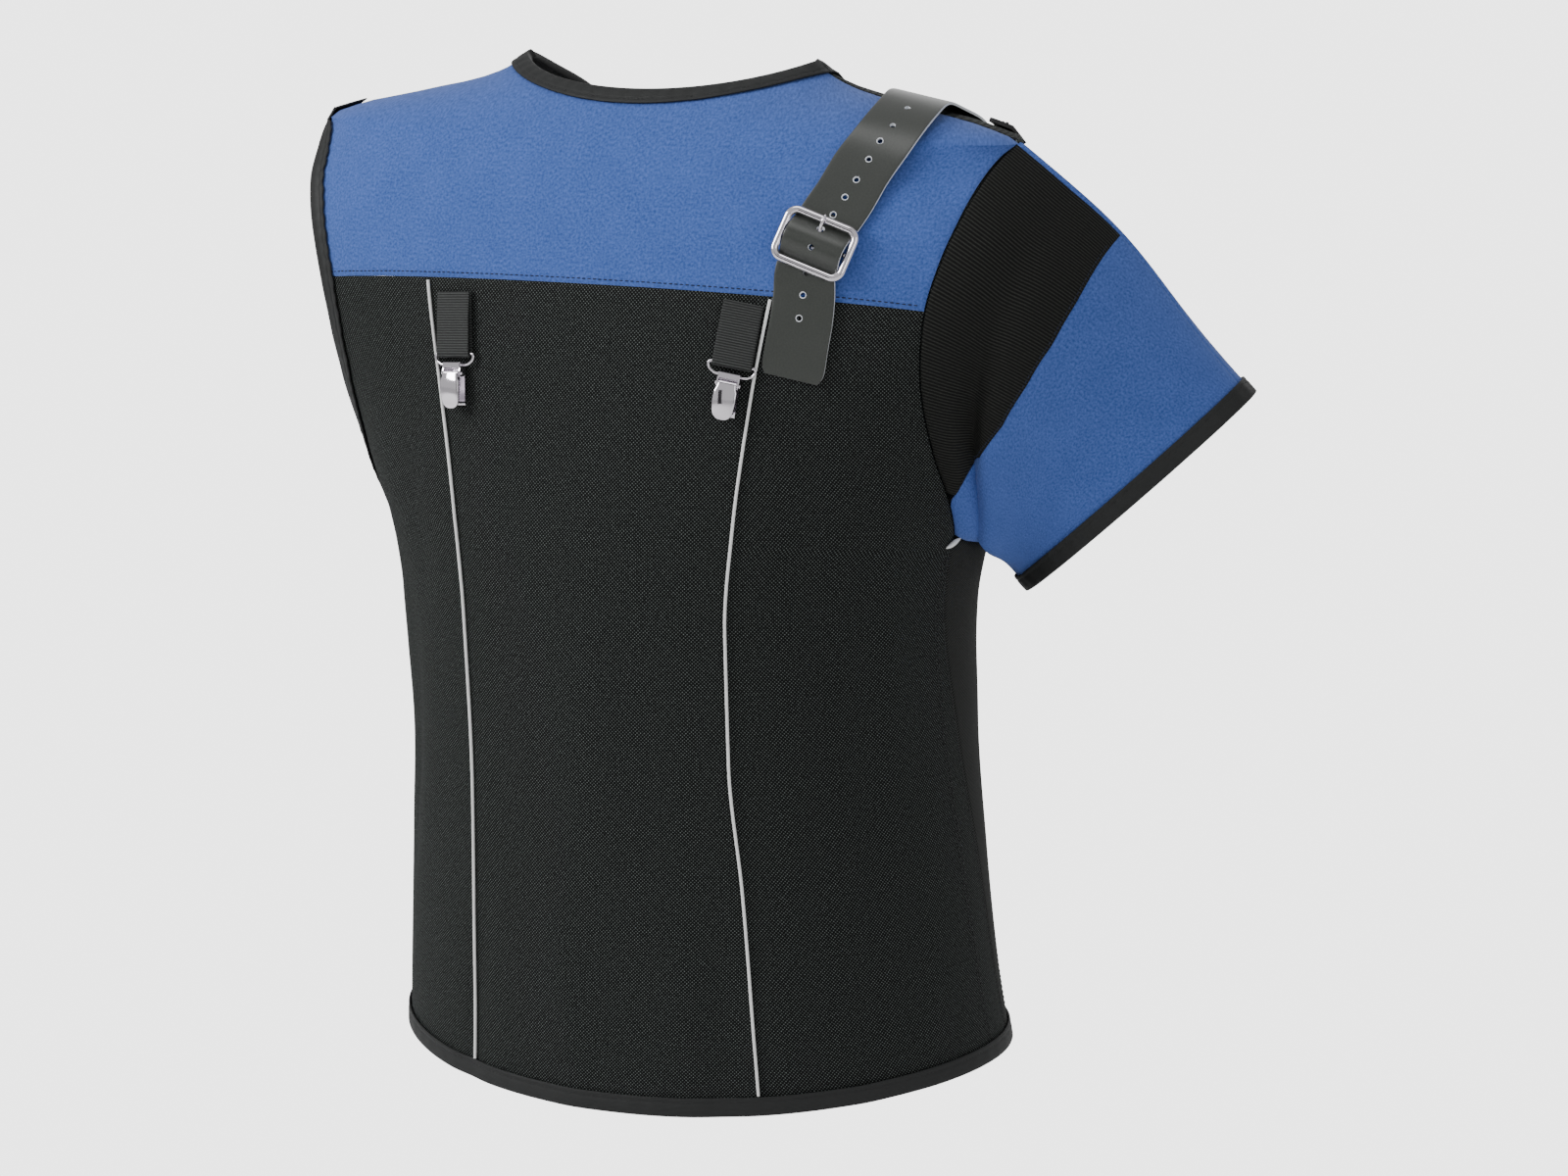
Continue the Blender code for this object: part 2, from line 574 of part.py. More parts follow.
def clip(side):
    fold, across, down, out, _ = loop_frame(side)
    spot = local_spot(fold, across, down, out)
    mm = 0.001
    half = [spot(a * mm, d * mm, 0.0) for a, d in WIRE_LINE]
    other = [spot(-a * mm, d * mm, 0.0) for a, d in WIRE_LINE[-2:0:-1]]
    tube("clip_wire_" + side, np.array(half + other), WIRE * mm, CHROME, corners=6, closed=True, lead=out)
    # The jaw: a block round the wire's lower bar, two ears with a pin, and the plate behind.
    jaw = prism("clip_jaw_" + side, ((4.8, -2.2), (4.8, 3.8), (9.0, 3.8), (9.0, -1.1), (31.0, -1.1),
                                     (32.0, -1.6), (31.0, -2.2)), 6.9, spot, CHROME)
    ear = ((8.4, -1.5), (8.4, 3.3), (12.3, 4.2), (14.2, 3.1), (14.1, -0.2), (12.5, -1.45))
    ears = [prism(f"ear_{side}_{k}", ear, 0.5, local_spot(fold + across * k * 6.55 * mm, across, down, out),
                  CHROME) for k in (-1, 1)]

    def crossbar(name, reach, d, n, radius, corners=12):
        ends = [spot(k * reach * mm, d * mm, n * mm) for k in (-1, 1)]
        return bar(name + side, *ends, radius * mm, CHROME, corners)

    combine(jaw, ears + [crossbar("pin_", 8.0, PIN_DOWN, PIN_OUT, 1.0)], "UNION")
    bore = crossbar("bore_", 9.0, BAR_DOWN, 0.0, 1.12)
    combine(jaw, [bore], "DIFFERENCE")
    # The lever: a domed shield with a knuckle round the pin.
    share = np.array((0.0, 0.12, 0.22, 0.45, 0.70, 0.84, 0.92, 0.97, 1.0))
    wide = np.array((5.6, 6.2, 7.1, 7.2, 6.8, 6.1, 5.0, 3.6, 1.7)) * mm
    place = (11.6 + 22.3 * share) * mm
    x = np.linspace(-1.0, 1.0, 7)
    rise = (4.3 + 1.3 * np.sin(np.pi * np.clip(share * 1.05, 0.0, 1.0)) - 0.6 * share)[:, None] * mm
    dome = np.sin(np.pi * np.clip(0.1 + share, 0.0, 1.0))[:, None] ** 0.7
    rise = rise + 0.9 * mm * (1 - x[None, :] ** 2) * dome
    under = across * (wide[:, None] * x)[..., None] + down * place[:, None, None] + out * rise[..., None]
    under = fold + under
    lever = wall("clip_lever_" + side, under, under + out * 1.1 * mm, CHROME)
    combine(lever, [crossbar("knuckle_", 5.6, PIN_DOWN, PIN_OUT, 2.1)], "UNION")
    combine(lever, [crossbar("pin_hole_", 9.0, PIN_DOWN, PIN_OUT, 1.2, 10)], "DIFFERENCE")


# The buckle: its place on the sheet, the height of its plane over the cloth, and its bars, mm.
BUCKLE_AT = (119.84, -0.1010)
BUCKLE_UP, FRAME_ACROSS, FRAME_ALONG, FRAME_BAR, CENTRE_BAR = 6.5, 22.4, 15.5, 2.2, 1.5
STRAP_HALF, STRAP_THICK, TAB_THICK = 19.2, 2.0, 1.4
# Strap centre over the cloth along the buckle: place along (down positive), height, mm.
HUMP = ((-21.0, 2.7), (-18.5, 2.95), (-15.5, 3.0), (-12.5, 3.7), (-9.0, 6.6), (-6.0, 9.4), (-3.0, 10.9),
        (0.0, 11.4), (3.0, 10.9), (6.0, 9.4), (9.0, 6.6), (12.5, 4.0), (15.5, 3.3), (18.5, 3.3), (21.0, 3.3))
PRONG_HOLE = -8.6
# Strap above and below the buckle: sheet place of its centre and its height over the cloth.
STRAP_UP = ((124.4, -0.0775, 2.8), (125.8, -0.0731, 3.0), (129.2, -0.0630, 4.0), (132.6, -0.0530, 5.0),
            (135.4, -0.0445, 6.5))  # degrees, z, mm
STRAP_DOWN = ((119.1, -0.1255, 2.2), (119.3, -0.1304, 1.6), (119.8, -0.1440, 1.6), (120.35, -0.1610, 1.6),
              (120.9, -0.1775, 1.6), (121.0, -0.1808, 1.6))
STRAP_TOP = ((-0.1755, 0.0790, -0.0305), (-0.1770, 0.0600, -0.0215), (-0.1760, 0.0450, -0.0170),
             (-0.1738, 0.0320, -0.0155))
# On the front the strap widens to its anchor: x and z of the left and of the right edge.
STRAP_FRONT = ((0.1515, -0.0225, 0.1905, -0.0320), (0.1500, -0.0270, 0.1930, -0.0360),
               (0.1490, -0.0330, 0.1950, -0.0412), (0.1485, -0.0412, 0.1955, -0.0490),
               (0.1485, -0.0500, 0.1950, -0.0580), (0.1490, -0.0600, 0.1935, -0.0680))
STRAP_LIFT = 0.0056  # middle of the strap over the front's inner face, m
STRAP_HOLES = ((135.1, -0.0420), (132.8, -0.0536), (129.0, -0.0647), (125.6, -0.0741), (122.9, -0.0839),
               (119.03, -0.1175), (119.17, -0.1304), (119.44, -0.1440))  # sheet places, degrees and z


def right_front(x, z, height):
    """Point over the right front and its outward normal, from the distance off the centre and the height."""
    x, z = np.asarray(x, float), np.asarray(z, float)
    angle = -np.arccos(np.clip(x / ring(z, "front")[0], 0.0, 0.9999) ** (ROUND / 2))
    out = body_normal(angle, z)
    return (body(angle, z) + out * height) * MIRROR, out * MIRROR


def buckle_frame():
    """Spot function of the buckle, from millimetres across, down the strap and up from the cloth."""
    angle, z = math.radians(BUCKLE_AT[0]), BUCKLE_AT[1]
    out = body_normal(angle, z)
    low, high = (body(math.radians(a), b) for a, b in ((118.95, -0.1165), (122.0, -0.0865)))
    down = low - high
    down = unit(down - out * np.dot(down, out))
    across = np.cross(down, out)
    origin = body(angle, z) + out * CLOTH
    return (lambda a, d, n: origin + (across * a + down * d + out * n) * 0.001), across, down, out


def hump_line():
    """The hump of the strap, let down by as much as the cloth falls away from the buckle's plane."""
    line = np.array(HUMP)
    return line - np.stack([np.zeros(len(line)), 0.0025 * line[:, 0] ** 2], -1)


def strap():
    spot, across, down, out = buckle_frame()
    left, right, normals = [], [], []

    def add(centre, w, n, trim=0.0):
        half = STRAP_HALF * 0.001 - trim
        left.append(centre + w * half)
        right.append(centre - w * half)
        normals.append(n)

    def sheet_point(angle, z, height):
        n = body_normal(math.radians(angle), z)
        return body(math.radians(angle), z) + n * (CLOTH + height * 0.001), n

    for xl, zl, xr, zr in STRAP_FRONT[::-1]:
        (l, nl), (r, nr) = right_front(xl, zl, STRAP_LIFT), right_front(xr, zr, STRAP_LIFT)
        left.append(l)
        right.append(r)
        normals.append(unit(nl + nr))
    upper = [np.array(p) for p in STRAP_TOP[::-1]] + [sheet_point(*row)[0] for row in STRAP_UP[::-1]]
    lower = [sheet_point(*row)[0] for row in STRAP_DOWN]
    hump = [spot(-0.15 * max(-d - 10.0, 0.0) - 0.10 * max(d - 8.0, 0.0), d, n) for d, n in hump_line()]
    centre = np.array(upper + hump + lower)
    run = tangents(centre, False)
    along = np.concatenate([[0.0], np.cumsum(np.linalg.norm(np.diff(centre, axis=0), axis=1))])
    along = (along - along[len(upper) + len(hump) // 2])[:, None]
    w = np.repeat(across[None], len(centre), 0)
    lean, end = np.clip((-along - 0.024) / 0.090, 0.0, 1.0), np.clip((along - 0.024) / 0.040, 0.0, 1.0)
    w = lerp(w, unit(np.array((0.965, 0.0, 0.215))), lean)
    w = unit(lerp(w, unit(np.array((0.965, 0.25, 0.08))), end))
    w = unit(w - run * np.sum(w * run, -1, keepdims=True))
    n = np.cross(w, run)
    n = n * np.sign(np.sum(n * out, -1, keepdims=True) + 0.3 * (n[:, 2:] > 0.5))
    for k in range(len(centre)):
        add(centre[k], w[k], n[k], 0.0028 if k == len(centre) - 1 else 0.0)
    left, right, normals = (np.array(part) for part in (left, right, normals))
    thick = STRAP_THICK * 0.0005
    sections = np.stack([left - normals * thick, right - normals * thick, right + normals * thick,
                         left + normals * thick], 1)
    made = sweep("shoulder_strap", sections, LEATHER, closed=False)
    cutters = []
    for k, (angle, z) in enumerate(STRAP_HOLES):
        near, n = sheet_point(angle, z, -2.0)
        cutters.append(bar(f"strap_hole_{k}", near, near + n * 0.014, 0.0019, LEATHER, 10))
    for k, centre_at in enumerate(STRAP_TOP[:2]):
        n = unit(np.array((-0.22, 0.45 - 0.15 * k, 0.87)))
        ends = [np.array(centre_at) + n * reach for reach in (-0.006, 0.006)]
        cutters.append(bar(f"strap_top_hole_{k}", *ends, 0.0019, LEATHER, 10))
    for k, (place, radius) in enumerate(((PRONG_HOLE, 0.0025), (3.2, 0.0019))):
        lean = np.array((-1.2, 0.75)) if k == 0 else np.array((0.2, 0.98))
        level = float(np.interp(place, *hump_line().T))
        ends = [spot(0.0, place + s * lean[0], level + s * lean[1]) for s in (-2.4, 2.4)]
        cutters.append(bar(f"strap_hump_hole_{k}", *ends, radius, LEATHER, 10))
    combine(made, cutters, "DIFFERENCE")


def buckle():
    spot, across, down, out = buckle_frame()
    corner, line = 6.0, []
    for sx, sy, first in ((1, 1, 0.0), (-1, 1, 90.0), (-1, -1, 180.0), (1, -1, 270.0)):
        for step in range(6):
            t = math.radians(first + step * 18.0)
            line.append(spot(sx * (FRAME_ACROSS - corner) + corner * math.cos(t),
                             sy * (FRAME_ALONG - corner) + corner * math.sin(t), BUCKLE_UP))
    made = tube("buckle_frame", np.array(line), FRAME_BAR * 0.001, CHROME, corners=8, closed=True, lead=out)
    middle = bar("centre_bar", spot(-FRAME_ACROSS, 0.0, BUCKLE_UP), spot(FRAME_ACROSS, 0.0, BUCKLE_UP),
                 CENTRE_BAR * 0.001, CHROME, 8)
    combine(made, [middle], "UNION")
    hook = CENTRE_BAR + 0.15 + 1.1
    turn = np.radians(np.linspace(20.0, -180.0, 11))
    line = [(hook * math.cos(t), BUCKLE_UP + hook * math.sin(t)) for t in turn]
    line += [(-4.4, 7.0), (-7.0, 7.1), (-9.2, 7.8), (-11.2, 9.2), (-13.2, 10.2), (-15.6, 10.5), (-18.4, 9.9)]
    radius = [0.0011] * (len(line) - 1) + [0.0009]
    line = np.array([spot(0.0, d, n) for d, n in line])
    tube("buckle_prong", line, radius, CHROME, corners=6, lead=across)
    # The tab arches over the centre bar under the strap, sewn down above and below it.
    hump = hump_line()
    slope = np.gradient(hump[:, 1]) / np.gradient(hump[:, 0])
    shift = (STRAP_THICK + TAB_THICK) / 2 + 0.6
    low = np.maximum(hump[:, 1] - shift / np.sqrt(1 + slope ** 2), 1.0 - 0.0025 * hump[:, 0] ** 2)
    tab = np.stack([hump[:, 0] + shift * slope / np.sqrt(1 + slope ** 2), low], -1)
    slope = np.gradient(tab[:, 1]) / np.gradient(tab[:, 0])
    lean = np.stack([-slope, np.ones_like(slope)], -1) / np.sqrt(1 + slope ** 2)[:, None] * TAB_THICK / 2
    outline = np.concatenate([tab + lean, (tab - lean)[::-1]])
    made = prism("buckle_tab", outline, 15.0, lambda a, d, n: spot(a * 1000, d * 1000, n * 1000), LEATHER)
    slot = prism("tab_slot", ((-12.4, -1.0), (-12.4, 14.0), (4.5, 14.0), (4.5, -1.0)), 1.8,
                 lambda a, d, n: spot(a * 1000, d * 1000, n * 1000), LEATHER)
    combine(made, [slot], "DIFFERENCE")


# Recoil pad: height, and how far off the centre it starts, m. It goes out to PAD_EDGE short of the armhole.
PAD = ((-0.0360, 0.2050), (-0.0390, 0.2045), (-0.0420, 0.2043), (-0.0500, 0.2035), (-0.0590, 0.2030),
       (-0.0670, 0.2010), (-0.0745, 0.1930), (-0.0790, 0.1700), (-0.0850, 0.1500), (-0.0950, 0.1380),
       (-0.1080, 0.1330), (-0.1230, 0.1320), (-0.1380, 0.1350))
PAD_EDGE = 0.0095


def recoil_pad():
    z, first = (np.array(column)[:, None] for column in zip(*PAD))
    u = np.linspace(0.0, 1.0, 5)[None, :]
    x = lerp(edge_x["front"](z) - EASE - PAD_EDGE, first, u)
    (low, _), (high, _) = (right_front(x, z + 0.0 * u, CLOTH + more) for more in (0.0014, 0.0046))
    wall("recoil_pad", low, high, RUBBER)


# ---------------------------------------------------------------- build
for leftover in list(bpy.data.objects):
    bpy.data.objects.remove(leftover)

SUEDE = material("blue_suede", (0.085, 0.18, 0.50), 0.9)
CANVAS = material("black_canvas", (0.018, 0.020, 0.020), 0.85)
RIBBED = material("black_ribbed", (0.028, 0.030, 0.030), 0.8)
BINDING = material("grey_binding", (0.040, 0.043, 0.042), 0.6)
WHITE = material("white_piping", (0.85, 0.85, 0.83), 0.5)
WEBBING = material("black_webbing", (0.022, 0.023, 0.023), 0.8)
LEATHER = material("strap_leather", (0.075, 0.080, 0.072), 0.45)
CHROME = material("chrome", (0.80, 0.79, 0.80), 0.12, 1.0)
RUBBER = material("black_rubber", (0.015, 0.015, 0.016), 0.6)

HALF = math.pi / 2
# Rows from the hem to the underarm, the same shares in every panel that meets there.
LOW = (0.0, 0.18, 0.36, 0.53, 0.68, 0.80, 0.89, 0.955, 1.0)
LOW_ROWS = len(LOW) - 1
UNDER_SHARE = (UNDERARM_Z - HEM_Z) / (YOKE_Z - YOKE_DROOP - HEM_Z)
BACK_ROWS = [row * UNDER_SHARE for row in LOW] + even((1.0 - UNDER_SHARE, 8))[1:]
BACK_ROWS = BACK_ROWS[:LOW_ROWS + 1] + [row + UNDER_SHARE for row in BACK_ROWS[LOW_ROWS + 1:]]
YOKE_ARM = (-0.122, -0.103, -0.085, -0.070, -0.058, -0.049, -0.042)
YOKE_ROWS = [0.0] + [1 - z / (YOKE_Z - YOKE_DROOP) for z in YOKE_ARM + (-0.030, -0.020, -0.010)] + [1.0]
FRONT_ARM = (-0.262, -0.232, -0.202, -0.172, -0.145, -0.120, -0.100, -0.084, -0.070, -0.058, -0.049, -0.042)
FRONT_ROWS = ([row * (1 - UNDERARM_Z / HEM_Z) for row in LOW]
              + [1 - z / HEM_Z for z in FRONT_ARM + (-0.030, -0.020, -0.010)] + [1.0])
FRONT_COLUMNS = (0.0, 0.0245, 0.048, 0.072, 0.095, 0.118, 0.141, 0.162, 0.181, 0.198, 0.2095, 0.222, 0.243,
                 0.275, 0.32, 0.38, 0.46, 0.55, 0.65, 0.76, 0.88, 1.0)

SIDE_COLUMNS = even((0.1, 1), (1.0, 7))
YOKE_COLUMNS = even((0.035, 1), (0.09, 1), (0.91, 16), (0.965, 1), (1.0, 1))

# The yoke's side edges are the armhole up to the shoulder tip and then the shoulder seam.
yoke = panel("back_yoke", SUEDE, back_edge, lambda z: math.pi - back_edge(z),
             yoke_z, lambda a: neck_z(a, "back"), YOKE_COLUMNS, YOKE_ROWS,
             level=(YOKE_ROWS[len(YOKE_ARM)], lambda high: np.full_like(high, TIP_Z)))
centre = panel("back_centre", CANVAS, piping_angle, lambda z: math.pi - piping_angle(z, "right"), hem_z,
               yoke_z, 9, BACK_ROWS)
cut = {}
for side, mirrored in (("left", False), ("right", True)):
    cut["back", side] = panel("back_side_" + side, CANVAS, back_edge, lambda z, s=side: piping_angle(z, s),
                              hem_z, yoke_z, SIDE_COLUMNS, BACK_ROWS, mirrored=mirrored)
    cut["gusset", side] = panel("side_gusset_" + side, RIBBED, front_edge,
                                lambda z: np.radians(gusset_back_of(z)), hem_z, underarm_z, 7, LOW,
                                mirrored=mirrored)
    cut["front", side] = panel("front_" + side, CANVAS, flat(-HALF), front_edge, hem_z,
                               lambda a: neck_z(a, "front"), FRONT_COLUMNS, FRONT_ROWS, mirrored=mirrored,
                               hold=0.0, level=(FRONT_ROWS[LOW_ROWS + len(FRONT_ARM)],
                                                lambda high: np.minimum(TIP_Z, high - 0.012)))


def run_of(grid, row=None, column=None, reverse=False, drop=1):
    """One edge of a panel as angles and heights, without its last point."""
    edge = [part[row] if column is None else part[:, column] for part in grid]
    edge = [part[::-1] if reverse else part for part in edge]
    return [part[:len(part) - drop] for part in edge]


def joined(*runs):
    return [np.concatenate(part) for part in zip(*runs)]


hem_line = joined(run_of(cut["front", "left"], 0), run_of(cut["gusset", "left"], 0),
                  run_of(cut["back", "left"], 0), run_of(centre, 0),
                  run_of(cut["back", "right"], 0, reverse=True), run_of(cut["gusset", "right"], 0, reverse=True),
                  run_of(cut["front", "right"], 0, reverse=True))
bound_edge("hem_binding", BINDING, body, body_normal, *hem_line)
neck_line = joined(run_of(yoke, -1), run_of(cut["front", "right"], -1, reverse=True),
                   run_of(cut["front", "left"], -1))
bound_edge("neck_binding", BINDING, body, body_normal, *neck_line, flip=True)
front_side = [part[LOW_ROWS:LOW_ROWS + len(FRONT_ARM) + 1, -1] for part in cut["front", "left"]]
back_side = [part[LOW_ROWS:, 0] for part in cut["back", "left"]]
yoke_side = [part[1:len(YOKE_ARM) + 1, 0] for part in yoke]
arm_line = joined([part[::-1] for part in yoke_side], [part[::-1][:-1] for part in back_side],
                  [part[-1, ::-1] for part in cut["gusset", "left"]], [part[1:-1] for part in front_side])
# The tape is narrower and stands off more where it turns over the shoulder tip.
tip = bump(arm_line[1], TIP_Z, 0.014)
bound_edge("armhole_binding_left", BINDING, body, body_normal, *arm_line, wide=TAPE_WIDE - 0.0055 * tip,
           clear=0.0019 * tip)

AROUND_SEAM = SEAM / 0.6
UPPER_AROUND = np.array((0.012, 0.045, 0.085, 0.125, 0.165, 0.20, 0.235, 0.265, 0.29, 0.31, 0.328, 0.345,
                         0.358))
LOWER_AROUND = np.concatenate([UPPER_AROUND, (0.375, 0.40, 0.425, 0.45, 0.475, 0.5 - 2 * AROUND_SEAM)])
FRONT_AROUND = np.linspace(0.5 + AROUND_SEAM, 1.012 - AROUND_SEAM, 19)
ALONG_SEAM = 0.0075
TOP_SHARE = float(diagonal(UPPER_AROUND[0]))


def lower_start(around):
    return np.where(around < SEAM_BACK, np.maximum(diagonal(around), 0.014), 0.0)


sleeve_panel("sleeve_back_upper", RIBBED, UPPER_AROUND, flat(0.0), lambda a: lower_start(a) - ALONG_SEAM,
             even((0.5, 4), (1.0, 3)))
sleeve_panel("sleeve_back_lower", SUEDE, LOWER_AROUND, lower_start, flat(1.0), even((1.0, 6)))
sleeve_panel("sleeve_front", SUEDE, FRONT_AROUND, flat(0.0), flat(1.0), even((TOP_SHARE, 4), (1.0, 6)))
cuff_line = np.concatenate([LOWER_AROUND, FRONT_AROUND[1:-1]])
bound_edge("cuff_binding", BINDING, sleeve, sleeve_normal, cuff_line, np.full(len(cuff_line), 1.0),
           flip=True)

for side, sign in (("left", 1), ("right", -1)):
    z = np.linspace(HEM_Z - HEM_DIP * 0.79 + 0.0130, YOKE_Z - YOKE_DROOP * 0.35 - 0.0020, 16)
    angle = piping_angle(z, side)
    line = (body(angle, z) + body_normal(angle, z) * (CLOTH + 0.0015)) * (sign, 1, 1)
    tube("piping_" + side, line, 0.0010, WHITE, corners=5)
    webbing(side)
    clip(side)
recoil_pad()
strap()
buckle()
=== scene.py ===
import functools
import math
import bpy
import bmesh
import numpy as np
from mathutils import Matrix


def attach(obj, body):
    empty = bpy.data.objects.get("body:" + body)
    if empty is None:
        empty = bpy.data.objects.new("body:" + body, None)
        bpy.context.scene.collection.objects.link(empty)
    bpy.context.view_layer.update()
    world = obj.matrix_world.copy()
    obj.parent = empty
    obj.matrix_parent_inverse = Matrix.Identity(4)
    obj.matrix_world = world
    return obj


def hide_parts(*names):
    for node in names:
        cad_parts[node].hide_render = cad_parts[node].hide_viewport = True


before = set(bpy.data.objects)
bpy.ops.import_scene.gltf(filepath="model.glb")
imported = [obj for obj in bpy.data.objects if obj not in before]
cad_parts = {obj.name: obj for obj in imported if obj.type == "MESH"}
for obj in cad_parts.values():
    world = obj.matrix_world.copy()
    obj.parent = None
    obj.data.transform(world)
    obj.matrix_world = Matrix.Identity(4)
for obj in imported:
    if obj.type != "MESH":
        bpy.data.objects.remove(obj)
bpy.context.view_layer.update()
print("frame loaded")

# Forms of the vest, metres. The front faces -Y, the wearer's right is at -X, and heights go down from the
# shoulders.
mm = 0.001
quarter = math.pi / 2
cloth = 0.0020  # wall of every cut panel
seamGap = 0.00003  # gap between two pieces at a seam
seamInset = 0.00012  # the same gap at a panel's side edge, as half of it in radians
roundness = 2.06  # exponent of the body rings
ease = 0.0018  # the tables below give the outer face, and the sheet is the wearer's side
tapeWall = 0.0011  # wall of a binding tape
tapeClear = 0.0010  # tape to cloth
tapeWide = 0.0105  # how far a binding reaches over the cloth

# Body centre line: height, mid depth of the ring, back surface, front surface.
ringDepths = (
    # z, mid, back, front
    (0.000, 0.024, 0.046, 0.000),
    (-0.010, 0.026, 0.070, -0.020),
    (-0.020, 0.028, 0.085, -0.037),
    (-0.042, 0.0326, 0.106, -0.062),
    (-0.060, 0.032, 0.118, -0.080),
    (-0.080, 0.031, 0.127, -0.096),
    (-0.110, 0.029, 0.137, -0.113),
    (-0.140, 0.026, 0.1445, -0.125),
    (-0.200, 0.016, 0.152, -0.140),
    (-0.260, 0.006, 0.1555, -0.148),
    (-0.290, 0.002, 0.156, -0.150),
    (-0.342, 0.001, 0.1545, -0.152),
    (-0.424, -0.0047, 0.150, -0.159),
    (-0.508, -0.0092, 0.1432, -0.162),
    (-0.592, -0.0165, 0.1389, -0.172),
    (-0.643, -0.0244, 0.135, -0.184),
)
# Edge of the back half: the shoulder line from the neck to its tip, then the armhole down to the gusset.
backEdgeTable = (
    # z, half width x, depth y
    (0.000, 0.1015, 0.024),
    (-0.004, 0.107, 0.0248),
    (-0.009, 0.1155, 0.0258),
    (-0.015, 0.130, 0.027),
    (-0.0245, 0.170, 0.029),
    (-0.034, 0.214, 0.0312),
    (-0.042, 0.2395, 0.0326),
    (-0.050, 0.2355, 0.050),
    (-0.060, 0.2318, 0.0655),
    (-0.080, 0.2262, 0.0865),
    (-0.110, 0.2165, 0.101),
    (-0.140, 0.2085, 0.1055),
    (-0.170, 0.2042, 0.102),
    (-0.200, 0.2022, 0.0925),
    (-0.230, 0.2022, 0.0765),
    (-0.260, 0.2035, 0.056),
    (-0.280, 0.202, 0.042),
    (-0.290, 0.1995, 0.034),
)
frontEdgeTable = backEdgeTable[:7] + (
    (-0.050, 0.232, 0.012),
    (-0.060, 0.224, -0.004),
    (-0.080, 0.211, -0.026),
    (-0.110, 0.197, -0.047),
    (-0.140, 0.188, -0.060),
    (-0.170, 0.1825, -0.069),
    (-0.200, 0.179, -0.0755),
    (-0.230, 0.1755, -0.081),
    (-0.260, 0.172, -0.085),
    (-0.290, 0.1676, -0.0866),
)
sideTable = ((-0.290, 0.2034), (-0.316, 0.196), (-0.342, 0.1912), (-0.380, 0.1892), (-0.424, 0.1892),
             (-0.508, 0.1944), (-0.592, 0.2008), (-0.643, 0.2059), (-0.670, 0.209))  # z, half width
tipZ = -0.042  # where the shoulder line ends and the armhole begins
armholeLow = -0.290
yokeLow, yokeDroop = -0.1292, 0.0097  # lower edge at the centre, and how much lower it is at the armhole
hemLow, hemDip = -0.6400, 0.0165  # hem at the sides, and how much lower it is at the back centre
neckHalf, neckDrop = 0.1015, 0.0175  # half width of the neck, and its drop at the back centre
vDepth = 0.165  # drop of the front neck
# z, and the distance of the left and of the right piping off the middle.
pipingTable = ((-0.128, 0.1168, 0.1196), (-0.20, 0.1045, 0.1069), (-0.27, 0.0960, 0.0963),
               (-0.342, 0.0911, 0.0892), (-0.424, 0.0894, 0.0891), (-0.508, 0.0925, 0.0948),
               (-0.592, 0.0973, 0.0996), (-0.662, 0.100, 0.102))
# Gusset edges as angles round the ring from the side, in degrees, back positive.
gussetTable = (
    # z, back edge, front edge
    (-0.290, 12.25, -35.0),
    (-0.317, 10.3, -33.5),
    (-0.365, 6.7, -30.5),
    (-0.4495, -0.4, -26.5),
    (-0.5326, -6.6, -23.5),
    (-0.645, -12.5, -20.0),
)


def smooth(table, column):
    # Monotone cubic through a table's column, with height as the first column.
    rows = np.array(sorted(row[:1] + (row[column],) for row in table))
    x, y = rows[:, 0], rows[:, 1]
    step, rise = np.diff(x), np.diff(y) / np.diff(x)
    slope = np.empty_like(y)
    slope[0], slope[-1] = rise[0], rise[-1]
    both = rise[:-1] * rise[1:] > 0
    w1, w2 = 2 * step[1:] + step[:-1], step[1:] + 2 * step[:-1]
    with np.errstate(divide="ignore", invalid="ignore"):
        mean = (w1 + w2) / (w1 / rise[:-1] + w2 / rise[1:])
    slope[1:-1] = np.where(both, mean, 0.0)

    def at(z):
        # Cubic between the two heights round z, with their slopes.
        z = np.clip(np.asarray(z, float), x[0], x[-1])
        i = np.clip(np.searchsorted(x, z) - 1, 0, len(x) - 2)
        h = step[i]
        t = (z - x[i]) / h
        return (y[i] * (1 + 2 * t) * (1 - t) ** 2 + slope[i] * h * t * (1 - t) ** 2
                + y[i + 1] * t * t * (3 - 2 * t) + slope[i + 1] * h * t * t * (t - 1))

    return at


midOf, backOf, frontOf = (smooth(ringDepths, column) for column in (1, 2, 3))
sideOf = smooth(sideTable, 1)
pipingOf = {"left": smooth(pipingTable, 1), "right": smooth(pipingTable, 2)}
gussetBackOf, gussetFrontOf = smooth(gussetTable, 1), smooth(gussetTable, 2)


def edgeFunctions(table):
    # x and y of an edge; the corner at the shoulder tip stays sharp.
    line = [row for row in table if row[0] >= tipZ]
    armhole = [row for row in table if row[0] <= tipZ]
    parts = [[smooth(t, column) for t in (line, armhole)] for column in (1, 2)]
    return [lambda z, p=pair: np.where(np.asarray(z) > tipZ, p[0](z), p[1](z)) for pair in parts]


edgePairs = {"back": edgeFunctions(backEdgeTable), "front": edgeFunctions(frontEdgeTable)}
edgeX, edgeY = ({half: pair[k] for half, pair in edgePairs.items()} for k in (0, 1))


def ring(z, half):
    # Half width, mid depth, signed depth and edge angle of one half ring at height z.
    z = np.asarray(z, float)
    mid = midOf(z)
    depth = backOf(z) - mid if half == "back" else mid - frontOf(z)
    reach = np.abs(edgeY[half](z) - mid) / depth
    reach = np.where(z >= tipZ, 0.0, np.clip(reach, 0.0, 0.98))
    wide = edgeX[half](z) / (1 - reach ** roundness) ** (1 / roundness)
    start = np.arcsin(reach ** (roundness / 2))
    closed = z < armholeLow
    return np.where(closed, sideOf(z), wide) - ease, mid, depth - ease, np.where(closed, 0.0, start)


